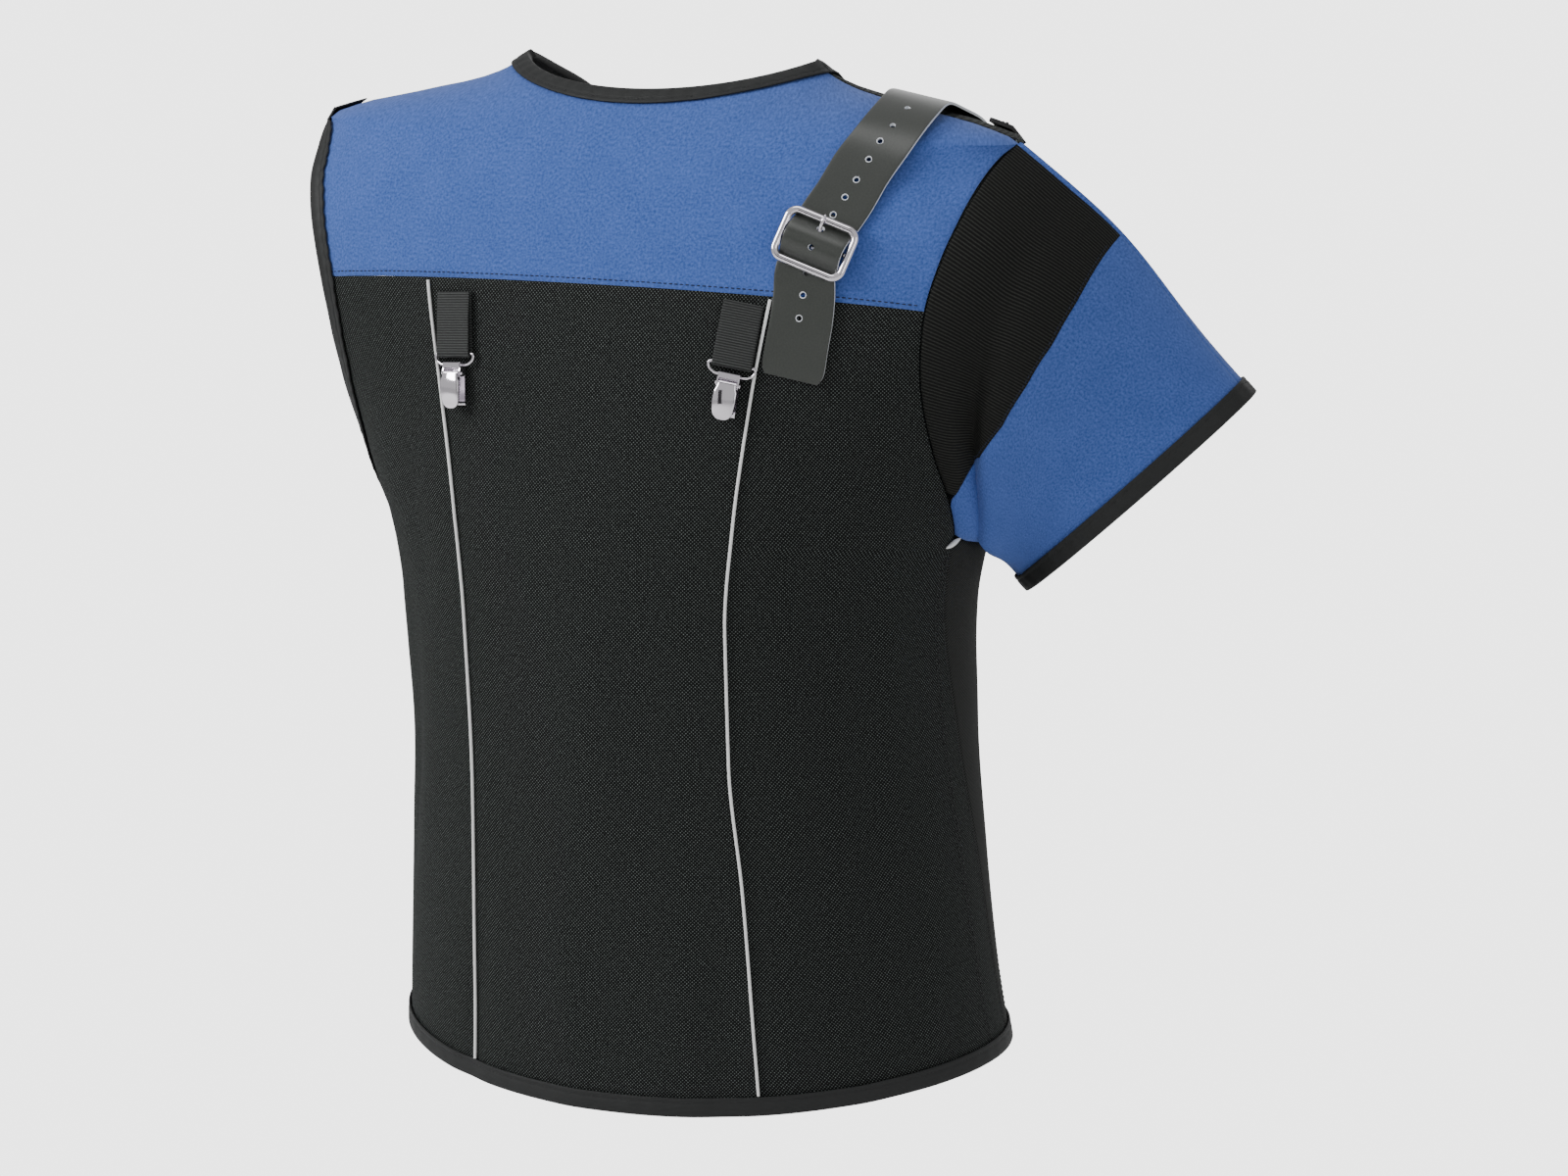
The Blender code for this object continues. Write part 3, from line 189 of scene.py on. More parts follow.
# Soft creases of the cloth: place round in degrees, height, half width across it in degrees, half length along
# it in metres, degrees it leans over one metre of height, and depth in metres.
creaseTable = (
    (62.0, -0.600, 3.4, 0.060, 24.0, -0.0022), (84.0, -0.590, 4.6, 0.075, -16.0, 0.0018),
    (113.0, -0.600, 4.2, 0.065, 12.0, -0.0018), (138.0, -0.585, 4.0, 0.060, -34.0, 0.0018),
    (152.0, -0.455, 5.0, 0.090, -44.0, -0.0026), (33.0, -0.455, 5.0, 0.090, 44.0, -0.0026),
    (160.0, -0.360, 5.0, 0.050, -60.0, 0.0020), (26.0, -0.360, 5.0, 0.050, 60.0, 0.0020),
    (90.0, -0.430, 7.0, 0.120, 0.0, 0.0020), (49.0, -0.290, 5.0, 0.050, 50.0, -0.0016),
    (-60.0, -0.430, 6.0, 0.120, 20.0, -0.0030), (-122.0, -0.430, 6.0, 0.120, -20.0, -0.0030),
    (-40.0, -0.560, 5.0, 0.080, -10.0, 0.0026), (-142.0, -0.560, 5.0, 0.080, 10.0, 0.0026),
    (-75.0, -0.300, 6.0, 0.070, 30.0, 0.0022), (-106.0, -0.300, 6.0, 0.070, -30.0, 0.0022),
    (112.0, -0.055, 2.6, 0.030, -160.0, -0.0011), (106.0, -0.072, 2.6, 0.030, -150.0, 0.0010),
    (60.0, -0.070, 3.2, 0.030, 180.0, -0.0012), (52.0, -0.085, 3.4, 0.030, 200.0, 0.0011),
    (146.0, -0.095, 3.0, 0.032, -120.0, -0.0012), (139.0, -0.105, 3.0, 0.030, -100.0, 0.0010),
)


def creases(angle, z):
    # Sum of bell curves, each exp(-(across / width)^2 - (down / length)^2) of its own depth.
    total = np.zeros(np.broadcast(angle, z).shape)
    for centre, height, width, length, lean, depth in creaseTable:
        across = (np.degrees(angle) - centre - lean * (z - height) + 180.0) % 360.0 - 180.0
        total = total + depth * np.exp(-(across / width) ** 2 - ((z - height) / length) ** 2)
    return total


def body(angle, z):
    # Point of the body sheet: angle 0 is the wearer's left side, 90 degrees the back centre.
    angle, z = np.broadcast_arrays(np.asarray(angle, float), np.asarray(z, float))
    wideB, mid, depthB, _ = ring(z, "back")
    wideF, _, depthF, _ = ring(z, "front")
    s, c = np.sin(angle), np.cos(angle)
    wide, depth = np.where(s >= 0, wideB, wideF), np.where(s >= 0, depthB, depthF)
    x = wide * np.sign(c) * np.abs(c) ** (2 / roundness)
    y = mid + depth * np.sign(s) * np.abs(s) ** (2 / roundness)
    point = np.stack([x, y, z], axis=-1)
    away = unit(np.stack([c / wide, s / depth, np.zeros_like(c)], axis=-1))
    return point + away * creases(angle, z)[..., None]


def unit(v):
    # v over its own length.
    return v / np.maximum(np.linalg.norm(v, axis=-1, keepdims=True), 1e-12)


def bodyNormal(angle, z):
    # Outward unit normal, from differences a little to either side.
    angle, z = np.broadcast_arrays(np.asarray(angle, float), np.asarray(z, float))
    da, dz = 0.004, 0.0006
    along = body(angle + da, z) - body(angle - da, z)
    high, low = np.minimum(z + dz, 0.0), z - dz
    low = np.where(z > tipZ, np.maximum(low, tipZ), low)
    high = np.where(z <= tipZ, np.minimum(high, tipZ), high)
    up = body(angle, high) - body(angle, low)
    return unit(np.cross(along, up))


def lerp(a, b, t):
    # Straight mix, a at 0 and b at 1.
    return a + (b - a) * t


def tangents(path, closed):
    # Unit direction of a path at each point, from its neighbours.
    if closed:
        return unit(np.roll(path, -1, 0) - np.roll(path, 1, 0))
    return unit(np.gradient(path, axis=0))


def resample(path, count, closed=False, ends=(0.0, 1.0)):
    # Even points along a path by its length; further columns are carried along.
    path = np.concatenate([path, path[:1]]) if closed else path
    length = np.concatenate([[0.0], np.cumsum(np.linalg.norm(np.diff(path[:, :3], axis=0), axis=1))])
    share = (np.arange(count) / count if closed else np.linspace(ends[0], ends[1], count)) * length[-1]
    return np.stack([np.interp(share, length, path[:, k]) for k in range(path.shape[1])], -1)


def neckCurve(half, count=120):
    # Angles (0 to 90 degrees) and heights of the neck edge on one half, from the shoulder inward.
    turn = np.linspace(0.0, quarter, count)
    x = neckHalf * np.cos(turn)
    if half == "back":
        z = -neckDrop * np.sin(turn) ** 1.5
    else:
        z = -vDepth * (1 - (x / neckHalf) ** 1.3)
    share = np.clip(x / ring(z, half)[0], 0.0, 1.0)
    return np.arccos(share ** (roundness / 2)), z


neckLine = {half: neckCurve(half) for half in ("back", "front")}


def neckZ(angle, half):
    # Height of the neck edge at an angle, alike on both sides.
    fromShoulder = np.arccos(np.clip(np.abs(np.cos(angle)), 0.0, 1.0))
    return np.interp(fromShoulder, *neckLine[half])


yokeEnd = float(ring(yokeLow - yokeDroop, "back")[3])


def yokeZ(angle):
    # Lower edge of the yoke: a parabola that droops towards the armholes.
    share = (angle - quarter) / (quarter - yokeEnd)
    return yokeLow - yokeDroop * share ** 2


def hemZ(angle):
    # Hem, lower at the back centre by sin^2 of the angle.
    return hemLow - hemDip * np.maximum(np.sin(angle), 0.0) ** 2


def pipingAngle(z, side="left"):
    # Angle of the piping seam: arccos((x / half width) ^ (roundness / 2)).
    return np.arccos((pipingOf[side](z) / ring(z, "back")[0]) ** (roundness / 2))


def backEdge(z):
    # Angle of the back piece's side edge: shoulder line, armhole, then the gusset seam.
    return np.where(z < armholeLow, np.radians(gussetBackOf(z)), ring(z, "back")[3])


def frontEdge(z):
    # The same for the front piece.
    return np.where(z < armholeLow, np.radians(gussetFrontOf(z)), -ring(z, "front")[3])


def gussetTop(angle):
    # Top edge of the gusset.
    low, high = np.radians(gussetTable[0][2]), np.radians(gussetTable[0][1])
    return armholeLow - 0.010 * np.sin(np.pi * np.clip((angle - low) / (high - low), 0.0, 1.0))


def inwardOf(path, out, flip=False):
    # Direction into the cloth, along its surface, at each point of a closed edge.
    run = tangents(path, True)
    across = np.cross(out, run) * (-1 if flip else 1)
    across = unit(across + 0.5 * np.roll(across, 1, 0) + 0.5 * np.roll(across, -1, 0))
    return unit(across - out * np.sum(out * across, -1, keepdims=True))


def settle(sheet, p, q, target):
    # Parameters of the sheet point nearest to each target, starting from a near guess.
    d = 1e-4
    for _ in range(8):
        here = sheet(p, q)
        byP = (sheet(p + d, q) - sheet(p - d, q)) / (2 * d)
        byQ = (sheet(p, q + d) - sheet(p, q - d)) / (2 * d)
        left = target - here
        pp, pq, qq = (np.sum(u * v, -1) for u, v in ((byP, byP), (byP, byQ), (byQ, byQ)))
        rp, rq = np.sum(byP * left, -1), np.sum(byQ * left, -1)
        scale = pp * qq - pq * pq
        p, q = p + (rp * qq - rq * pq) / scale, q + (rq * pp - rp * pq) / scale
    return p, q


def armholeLine(count=160):
    # Angles and heights of the left armhole from the shoulder tip down the back and up the front.
    down = np.linspace(tipZ, armholeLow, count)
    under = np.linspace(np.radians(gussetTable[0][1]), np.radians(gussetTable[0][2]), count // 3)[1:-1]
    up = down[::-1][:-1]
    return (np.concatenate([ring(down, "back")[3], under, -ring(up, "front")[3]]),
            np.concatenate([down, gussetTop(under), up]))


def armhole(count):
    # Evenly spaced points of that line, with their outward and inward directions.
    angle, z = armholeLine()
    dense = resample(np.concatenate([body(angle, z), bodyNormal(angle, z)], -1), count, closed=True)
    path, out = dense[:, :3], unit(dense[:, 3:])
    for _ in range(2):
        out = unit(np.roll(out, 1, 0) + 2 * out + np.roll(out, -1, 0))
    return path, out, inwardOf(path, out)


otherSide = np.array((-1.0, 1.0, 1.0))  # turns the left side's points into the right side's
cuffCentre = np.array((-0.2900, -0.0500, -0.2660))  # centre of the cuff ring
cuffLong, cuffShort = 0.0960, 0.0620  # its half axes
cuffUpper = unit(np.array((-0.745, 0.01, 0.667)))  # direction of its upper end
cuffBack = unit(np.array((-0.10, 1.0, -0.127)))
sleeveAxis = unit(np.cross(cuffBack, cuffUpper))  # outward and down
sleeveAxis = sleeveAxis * (1 if sleeveAxis[2] < 0 else -1)
loopCount = 240
loopPath, loopOut, loopIn = (part * otherSide for part in armhole(loopCount))
for _ in range(150):
    loopIn = unit(np.roll(loopIn, 1, 0) + 2 * loopIn + np.roll(loopIn, -1, 0))
capOut = unit(np.array((-0.80, 0.0, -0.60)))  # how the cap leaves the shoulder tip
seamBack = 0.37  # where the diagonal seam between the ribbed and the blue piece meets the armhole
seamLine = ((0.0, 0.405), (0.05, 0.415), (0.10, 0.425), (0.15, 0.430), (0.20, 0.415), (0.25, 0.375),
            (0.30, 0.280), (0.33, 0.175), (0.355, 0.075), (seamBack, 0.0))  # share round, share along


def loopAt(around, values):
    # Value at a share of the way round the armhole, straight between its points.
    spot = np.asarray(around, float) % 1.0 * loopCount
    low = np.floor(spot).astype(int)
    t = (spot - low)[..., None]
    return values[low % loopCount] * (1 - t) + values[(low + 1) % loopCount] * t


def bump(x, centre, halfWidth):
    # Bell curve exp(-((x - centre) / half width)^2).
    return np.exp(-((x - centre) / halfWidth) ** 2)


# Creases of the sleeve: depth, place along it, half length along it, place round it, half width round it.
sleeveFolds = ((0.011, 0.21, 0.07, 0.27, 0.15), (-0.004, 0.40, 0.14, 0.27, 0.15))
topSwell = (0.006, 0.42, 0.26)  # the top line is a little rounder than straight: depth, place and half length


def sleeve(around, along):
    # Point of the sleeve sheet: around from the shoulder tip down the back, along from armhole to cuff.
    around, along = np.broadcast_arrays(np.asarray(around, float), np.asarray(along, float))
    turn = 2 * np.pi * around
    cap = (((1 + np.cos(turn)) / 2) ** 4)[..., None]
    start, away = loopAt(around, loopPath), unit(lerp(-unit(loopAt(around, loopIn)), capOut, cap))
    under = ((1 - np.cos(turn)) / 2) ** 3
    back = np.maximum(np.sin(turn), 0.0)
    share = (0.30 + 0.10 * back + 0.42 * under)[..., None] * (1 - cap)
    heading = unit(away * (1 - share) + sleeveAxis * share)
    # Where the sleeve folds outward from the body, its wall starts farther off.
    turned = np.arccos(np.clip(np.sum(heading * away, -1), -1.0, 1.0))
    rise = np.sum(heading * loopAt(around, loopOut), -1)
    off = 0.0007 + 0.0016 * cap[..., 0] + 1.7 * cloth * np.tan(turned / 2) * np.clip(rise / 0.1, 0.0, 1.0)
    start = start + away * off[..., None]
    end = cuffCentre + cuffUpper * (cuffLong * np.cos(turn))[..., None]
    end = end + cuffBack * (cuffShort * np.sin(turn))[..., None]
    reach = np.linalg.norm(end - start, axis=-1, keepdims=True)
    t = along[..., None]
    point = (start * (2 * t ** 3 - 3 * t ** 2 + 1) + heading * reach * (t ** 3 - 2 * t ** 2 + t)
             + end * (3 * t ** 2 - 2 * t ** 3) + sleeveAxis * reach * (t ** 3 - t ** 2))
    inward = unit(cuffCentre + (loopPath.mean(0) - cuffCentre) * (1 - t) - point)
    fold = sum(depth * bump(along, place, long) * bump(around, spot, wide)
               for depth, place, long, spot, wide in sleeveFolds)
    fold = fold - topSwell[0] * bump(along, *topSwell[1:]) * cap[..., 0]
    return point + inward * fold[..., None]


def sleeveNormal(around, along):
    # Outward unit normal, from differences a little to either side.
    d = 0.002
    run = sleeve(around, np.clip(along + d, 0.0, 1.0)) - sleeve(around, np.clip(along - d, 0.0, 1.0))
    side = sleeve(around + d, along) - sleeve(around - d, along)
    return unit(np.cross(side, run))


def diagonal(around):
    # Share along the sleeve of the seam between the ribbed piece and the blue piece.
    return np.interp(around, *zip(*seamLine))


def localSpot(origin, across, down, out):
    # Point function of a part: its place across, down and out, in metres.
    return lambda a, d, n: origin + across * a + down * d + out * n


# Webbing loops: sheet places of the top and bottom of each loop's centre line.
webPlaces = {"left": ((70.6, -0.1392), (69.3, -0.1799)), "right": ((111.2, -0.1360), (111.7, -0.1757))}
webHalf, webThick = 12.5, 1.3  # mm
wireRadius = 0.90  # mm, radius of the wire loop
foldRadius = wireRadius + 0.25  # inner radius of the webbing fold round the wire
# Half of the wire loop's centre line, across and down from the middle of its top bar, mm.
wireLine = ((0.0, 0.0), (12.6, 0.0), (13.9, 0.1), (14.8, 0.9), (14.9, 2.4), (13.9, 4.3), (11.8, 5.8),
            (8.8, 6.8), (0.0, 6.9))
barDown, pinDown, pinOut = 6.9, 12.2, 2.4  # mm: the wire's lower bar, and the lever's pin


def loopFrame(side):
    # Middle of the wire's top bar, directions across, down and out, and the loop's length in mm.
    (topAngle, topZ), (lowAngle, lowZ) = webPlaces[side]
    lift = cloth + 0.0007
    top = body(np.radians(topAngle), topZ) + bodyNormal(np.radians(topAngle), topZ) * lift
    low = body(np.radians(lowAngle), lowZ) + bodyNormal(np.radians(lowAngle), lowZ) * lift
    down = unit(low - top)
    out = bodyNormal(np.radians(lowAngle), lowZ)
    out = unit(out - down * np.dot(out, down))
    across = np.cross(down, out)
    fold = low - down * (foldRadius + webThick) * mm + out * (foldRadius + webThick) * mm
    return fold, across, down, out, float(np.linalg.norm(low - top)) * 1000


# The buckle: its place on the sheet, the height of its plane over the cloth, and its bars, mm.
bucklePlace = (119.84, -0.1010)
buckleUp, frameAcross, frameAlong, frameBar, centreBar = 6.5, 22.4, 15.5, 2.5, 1.5
strapHalf, strapThick, tabThick = 19.2, 2.0, 1.4
# Strap centre over the cloth along the buckle: place along (down positive), height, mm.
humpTable = ((-21.0, 2.7), (-18.5, 2.95), (-15.5, 3.0), (-12.5, 3.7), (-9.0, 6.6), (-6.0, 9.4), (-3.0, 10.9),
             (0.0, 11.4), (3.0, 10.9), (6.0, 9.4), (9.0, 6.6), (12.5, 4.0), (15.5, 3.3), (18.5, 3.3),
             (21.0, 3.3))
prongHole = -8.6
# Strap above and below the buckle: sheet place of its centre and its height over the cloth.
strapUp = ((124.4, -0.0775, 2.8), (125.8, -0.0731, 3.0), (129.2, -0.0630, 4.0), (132.6, -0.0530, 5.0),
            (135.4, -0.0445, 6.5))  # degrees, z, mm
strapDown = ((119.1, -0.1255, 2.2), (119.3, -0.1304, 1.6), (119.8, -0.1440, 1.6), (120.35, -0.1610, 1.6),
              (120.9, -0.1775, 1.6), (121.0, -0.1808, 1.6))
strapTop = ((-0.1755, 0.0790, -0.0305), (-0.1770, 0.0600, -0.0215), (-0.1760, 0.0450, -0.0170),
             (-0.1738, 0.0320, -0.0155))
# On the front the strap widens to its anchor: x and z of the left and of the right edge.
strapFront = ((0.1515, -0.0225, 0.1905, -0.0320), (0.1500, -0.0270, 0.1930, -0.0360),
              (0.1490, -0.0330, 0.1950, -0.0412), (0.1485, -0.0412, 0.1955, -0.0490),
              (0.1485, -0.0500, 0.1950, -0.0580), (0.1490, -0.0600, 0.1935, -0.0680))
strapLift = 0.0056  # middle of the strap over the front's inner face, m
strapHoles = ((135.1, -0.0420), (132.8, -0.0536), (129.0, -0.0647), (125.6, -0.0741), (122.9, -0.0839),
               (119.03, -0.1175), (119.17, -0.1304), (119.44, -0.1440))  # sheet places, degrees and z


def rightFront(x, z, height):
    # Point over the right front, and its outward normal, from its distance off the centre and its height.
    x, z = np.asarray(x, float), np.asarray(z, float)
    angle = -np.arccos(np.clip(x / ring(z, "front")[0], 0.0, 0.9999) ** (roundness / 2))
    out = bodyNormal(angle, z)
    return (body(angle, z) + out * height) * otherSide, out * otherSide


def buckleFrame():
    # Spot function of the buckle, from millimetres across, down the strap and up from the cloth.
    angle, z = math.radians(bucklePlace[0]), bucklePlace[1]
    out = bodyNormal(angle, z)
    low, high = (body(math.radians(a), b) for a, b in ((118.95, -0.1165), (122.0, -0.0865)))
    down = low - high
    down = unit(down - out * np.dot(down, out))
    across = np.cross(down, out)
    origin = body(angle, z) + out * cloth
    return (lambda a, d, n: origin + (across * a + down * d + out * n) * mm), across, down, out


def humpLine():
    # The hump of the strap, let down by as much as the cloth falls away from the buckle's plane.
    line = np.array(humpTable)
    return line - np.stack([np.zeros(len(line)), 0.0025 * line[:, 0] ** 2], -1)


# Recoil pad: height, and how far off the centre it starts, m. It goes out to padEdge short of the armhole.
padTable = ((-0.0360, 0.2050), (-0.0390, 0.2045), (-0.0420, 0.2043), (-0.0500, 0.2035), (-0.0590, 0.2030),
            (-0.0670, 0.2010), (-0.0745, 0.1930), (-0.0790, 0.1700), (-0.0850, 0.1500), (-0.0950, 0.1380),
            (-0.1080, 0.1330), (-0.1230, 0.1320), (-0.1380, 0.1350))
padEdge = 0.0095
print("forms set")


# Meshes.
def makePiece(name, points, faces, coords, look, node=None, body="garment", repaint=None, sharp=40.0):
    # Mesh object from points, four-cornered faces and the coordinates of each face corner in metres.
    mesh = bpy.data.meshes.new(name)
    mesh.from_pydata(np.asarray(points, float).tolist(), [], np.asarray(faces).tolist())
    layer = mesh.uv_layers.new(name="UVMap")
    layer.data.foreach_set("uv", np.asarray(coords, np.float32).reshape(-1))
    grown = bmesh.new()
    grown.from_mesh(mesh)
    bmesh.ops.recalc_face_normals(grown, faces=grown.faces)
    grown.to_mesh(mesh)
    grown.free()
    mesh.polygons.foreach_set("use_smooth", np.ones(len(mesh.polygons), bool))
    mesh.set_sharp_from_angle(angle=math.radians(sharp))
    mesh.materials.append(look)
    made = bpy.data.objects.new(name, mesh)
    bpy.context.scene.collection.objects.link(made)
    if body:
        claim(made, node, body)
    return made


def claim(made, node, body):
    # The piece takes the place of its plain solid and goes with its body.
    if node:
        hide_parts(node)
    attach(made, body)


def applied(made):
    # Bakes the modifiers into the mesh.
    bpy.context.view_layer.update()
    graph = bpy.context.evaluated_depsgraph_get()
    final = bpy.data.meshes.new_from_object(made.evaluated_get(graph))
    made.modifiers.clear()
    made.data = final
    return made


def carve(made, cutters):
    # Takes the cutters out of a piece, in one mesh.
    for cutter in cutters:
        change = made.modifiers.new(cutter.name, "BOOLEAN")
        change.operation, change.solver, change.object = "DIFFERENCE", "EXACT", cutter
        change.material_mode = "TRANSFER"
    applied(made)
    for cutter in cutters:
        bpy.data.objects.remove(cutter)
    made.data.polygons.foreach_set("use_smooth", np.ones(len(made.data.polygons), bool))
    made.data.set_sharp_from_angle(angle=math.radians(35.0))
    return made


def lengths(points, axis):
    # Distance run along one way of a grid of points.
    step = np.linalg.norm(np.diff(points, axis=axis), axis=-1)
    return np.concatenate([np.zeros_like(np.take(step, [0], axis)), np.cumsum(step, axis=axis)], axis=axis)


def closedWall(inner, outer, u, v):
    # Points, faces and corner coordinates of the wall between two grids.
    rows, columns = inner.shape[:2]
    count = rows * columns
    index = np.arange(count).reshape(rows, columns)
    quads = np.stack([index[:-1, :-1], index[:-1, 1:], index[1:, 1:], index[1:, :-1]], -1).reshape(-1, 4)
    rim = np.concatenate([index[0, :], index[1:, -1], index[-1, -2::-1], index[-2:0:-1, 0]])
    after = np.roll(rim, -1)
    wall = np.stack([rim, rim + count, after + count, after], -1)
    faces = np.concatenate([quads, quads[:, ::-1] + count, wall])
    spread = np.stack([u.reshape(-1), v.reshape(-1)], -1)
    points = np.concatenate([inner.reshape(-1, 3), outer.reshape(-1, 3)])
    return points, faces, np.concatenate([spread, spread])[faces]


def sheetPiece(name, base, out, thick, look, u=None, v=None, roll=0.0005, pucker=0.0, **rest):
    # A panel whose edges roll down by roll * exp(-(distance / 1.1 mm)^2), with a pucker beside its seams.
    across, down = lengths(base, 1), lengths(base, 0)
    sides = np.stack([across, across[:, -1:] - across, down, down[-1:] - down])
    edge = sides.min(0)
    run = np.where(sides[:2].min(0) < sides[2:].min(0), down, across)
    height = thick - roll * np.exp(-(edge / 0.0011) ** 2)
    height = height + pucker * np.sin(run * 2 * np.pi / 0.0105) * np.exp(-((edge - 0.005) / 0.0035) ** 2)
    u = across - across[:, across.shape[1] // 2][:, None] if u is None else u
    v = down if v is None else v
    return makePiece(name, *closedWall(base, base + out * height[..., None], u, v), look, **rest)


def sweepFaces(sections, u, closed):
    # Faces and corner coordinates of a run of closed sections, joined end to end or capped.
    count, corners = sections.shape[:2]
    span = np.linalg.norm(np.roll(sections[0], -1, 0) - sections[0], axis=-1)
    v = np.concatenate([[0.0], np.cumsum(span)])
    i = np.arange(count if closed else count - 1)[:, None]
    j = np.arange(corners)[None, :]
    j2, i2 = (j + 1) % corners, (i + 1) % count
    faces = np.stack([i * corners + j, i * corners + j2, i2 * corners + j2, i2 * corners + j], -1)
    faces = faces.reshape(-1, 4)
    near = np.broadcast_arrays(u[i], v[j])
    ahead = u[i + 1] if closed else u[i2]
    coords = np.stack([np.stack([near[0], near[1]], -1), np.stack(np.broadcast_arrays(u[i], v[j + 1]), -1),
                       np.stack(np.broadcast_arrays(ahead, v[j + 1]), -1),
                       np.stack(np.broadcast_arrays(ahead, v[j]), -1)], 2).reshape(-1, 4, 2)
    if not closed:
        ladder = np.arange((corners - 1) // 2)
        first = np.stack([ladder, ladder + 1, corners - 2 - ladder, corners - 1 - ladder], -1)
        first = first[(first[:, 1] < first[:, 2])]
        last = first[:, ::-1] + (count - 1) * corners
        faces = np.concatenate([faces, first[:, ::-1], last[:, ::-1]])
        coords = np.concatenate([coords, np.zeros((len(first) * 2, 4, 2))])
    return faces, coords


def sweepPiece(name, sections, look, u=None, closed=False, **rest):
    # Wall through closed sections, with the run of their centres as u.
    centre = sections.mean(1)
    if u is None:
        ends = np.concatenate([centre, centre[:1]]) if closed else centre
        u = np.concatenate([[0.0], np.cumsum(np.linalg.norm(np.diff(ends, axis=0), axis=1))])
    faces, coords = sweepFaces(sections, u, closed)
    return makePiece(name, sections.reshape(-1, 3), faces, coords, look, **rest)


def tubeSections(path, radius, corners=12, closed=False, lead=(0.0, 0.0, 1.0)):
    # Round sections: path + radius * (across * cos turn + over * sin turn).
    run = tangents(path, closed)
    across = unit(np.cross(run, np.asarray(lead, float)))
    over = np.cross(across, run)
    turn = (np.arange(corners) * 2 * np.pi / corners + np.pi / corners)[None, :, None]
    radius = np.broadcast_to(np.asarray(radius, float), len(path))[:, None, None]
    return path[:, None] + radius * (across[:, None] * np.cos(turn) + over[:, None] * np.sin(turn))


def rod(name, start, end, radius, look, corners=24, body=None):
    # Round bar between two points.
    path = np.linspace(np.asarray(start, float), np.asarray(end, float), 2)
    lead = (0.0, 0.0, 1.0) if abs(unit(path[1] - path[0])[2]) < 0.9 else (1.0, 0.0, 0.0)
    return sweepPiece(name, tubeSections(path, radius, corners, lead=lead), look, body=body)


def gather(name, parts, node, body, repaint):
    # Joins plain parts into one mesh.
    points, faces, coords, count = [], [], [], 0
    for part in parts:
        mesh = part.data
        place = np.empty(len(mesh.vertices) * 3)
        mesh.vertices.foreach_get("co", place)
        corner = np.empty(len(mesh.loops), int)
        mesh.loops.foreach_get("vertex_index", corner)
        points.append(place.reshape(-1, 3))
        faces.append(corner.reshape(-1, 4) + count)
        coords.append(np.zeros((len(corner) // 4, 4, 2)))
        count += len(mesh.vertices)
        look = mesh.materials[0]
        bpy.data.objects.remove(part)
    joined = (np.concatenate(rows) for rows in (points, faces, coords))
    return makePiece(name, *joined, look, node=node, body=body, repaint=repaint)


def curve(points, count, closed=False):
    # Even points of a smooth curve through the given ones, by Catmull-Rom spans.
    points = np.asarray(points, float)
    if closed:
        ring4 = [np.roll(points, k, 0) for k in (1, 0, -1, -2)]
    else:
        grown = np.concatenate([2 * points[:1] - points[1:2], points, 2 * points[-1:] - points[-2:-1]])
        ring4 = [grown[k:len(grown) - 3 + k] for k in range(4)]
    t = np.linspace(0.0, 1.0, 13)[:-1][None, :, None]
    a, b, c, d = (row[:, None] for row in ring4)
    line = 0.5 * (2 * b + (c - a) * t + (2 * a - 5 * b + 4 * c - d) * t ** 2
                  + (3 * b - a - 3 * c + d) * t ** 3)
    line = line.reshape(-1, points.shape[1])
    return resample(line if closed else np.concatenate([line, points[-1:]]), count, closed)


def stitches(name, lines, thread, look, repaint="black_canvas"):
    # Rows of short thread ends, each a small capsule that sinks into the cloth at both tips.
    t = np.array((-1.0, -0.8, 0.0, 0.8, 1.0))
    swell = np.array((0.45, 0.9, 1.0, 0.9, 0.45))
    turn = np.arange(6) * np.pi / 3
    points, faces, count = [], [], 0
    for path, out in lines:
        total = float(np.linalg.norm(np.diff(path, axis=0), axis=1).sum())
        number = max(int(total / thread["pitch"]), 2)
        dense = resample(np.concatenate([path, out], -1), number)
        centre, out2 = dense[:, :3], unit(dense[:, 3:])
        run = tangents(centre, False)
        side = unit(np.cross(run, out2))
        sunk = thread["lift"] - thread["radius"] * 1.3 * t ** 4
        place = (centre[:, None, None] + run[:, None, None] * (t * thread["length"] / 2)[None, :, None, None]
                 + out2[:, None, None] * sunk[None, :, None, None])
        round6 = turn[None, None, :, None]
        spoke = side[:, None, None] * np.cos(round6) + out2[:, None, None] * np.sin(round6)
        points.append((place + spoke * (swell * thread["radius"])[None, :, None, None]).reshape(-1, 3))
        i, j = np.arange(4)[:, None] * 6, np.arange(6)[None, :]
        one = np.stack([i + j, i + (j + 1) % 6, i + 6 + (j + 1) % 6, i + 6 + j], -1).reshape(-1, 4)
        one = np.concatenate([one, [(3, 2, 1, 0), (5, 4, 3, 0), (24, 25, 26, 27), (24, 27, 28, 29)]])
        faces.append((one[None] + (np.arange(number) * 30)[:, None, None]).reshape(-1, 4) + count)
        count += number * 30
    points, faces = np.concatenate(points), np.concatenate(faces)
    return makePiece(name, points, faces, np.zeros((len(faces), 4, 2)), look, repaint=repaint, sharp=80.0)


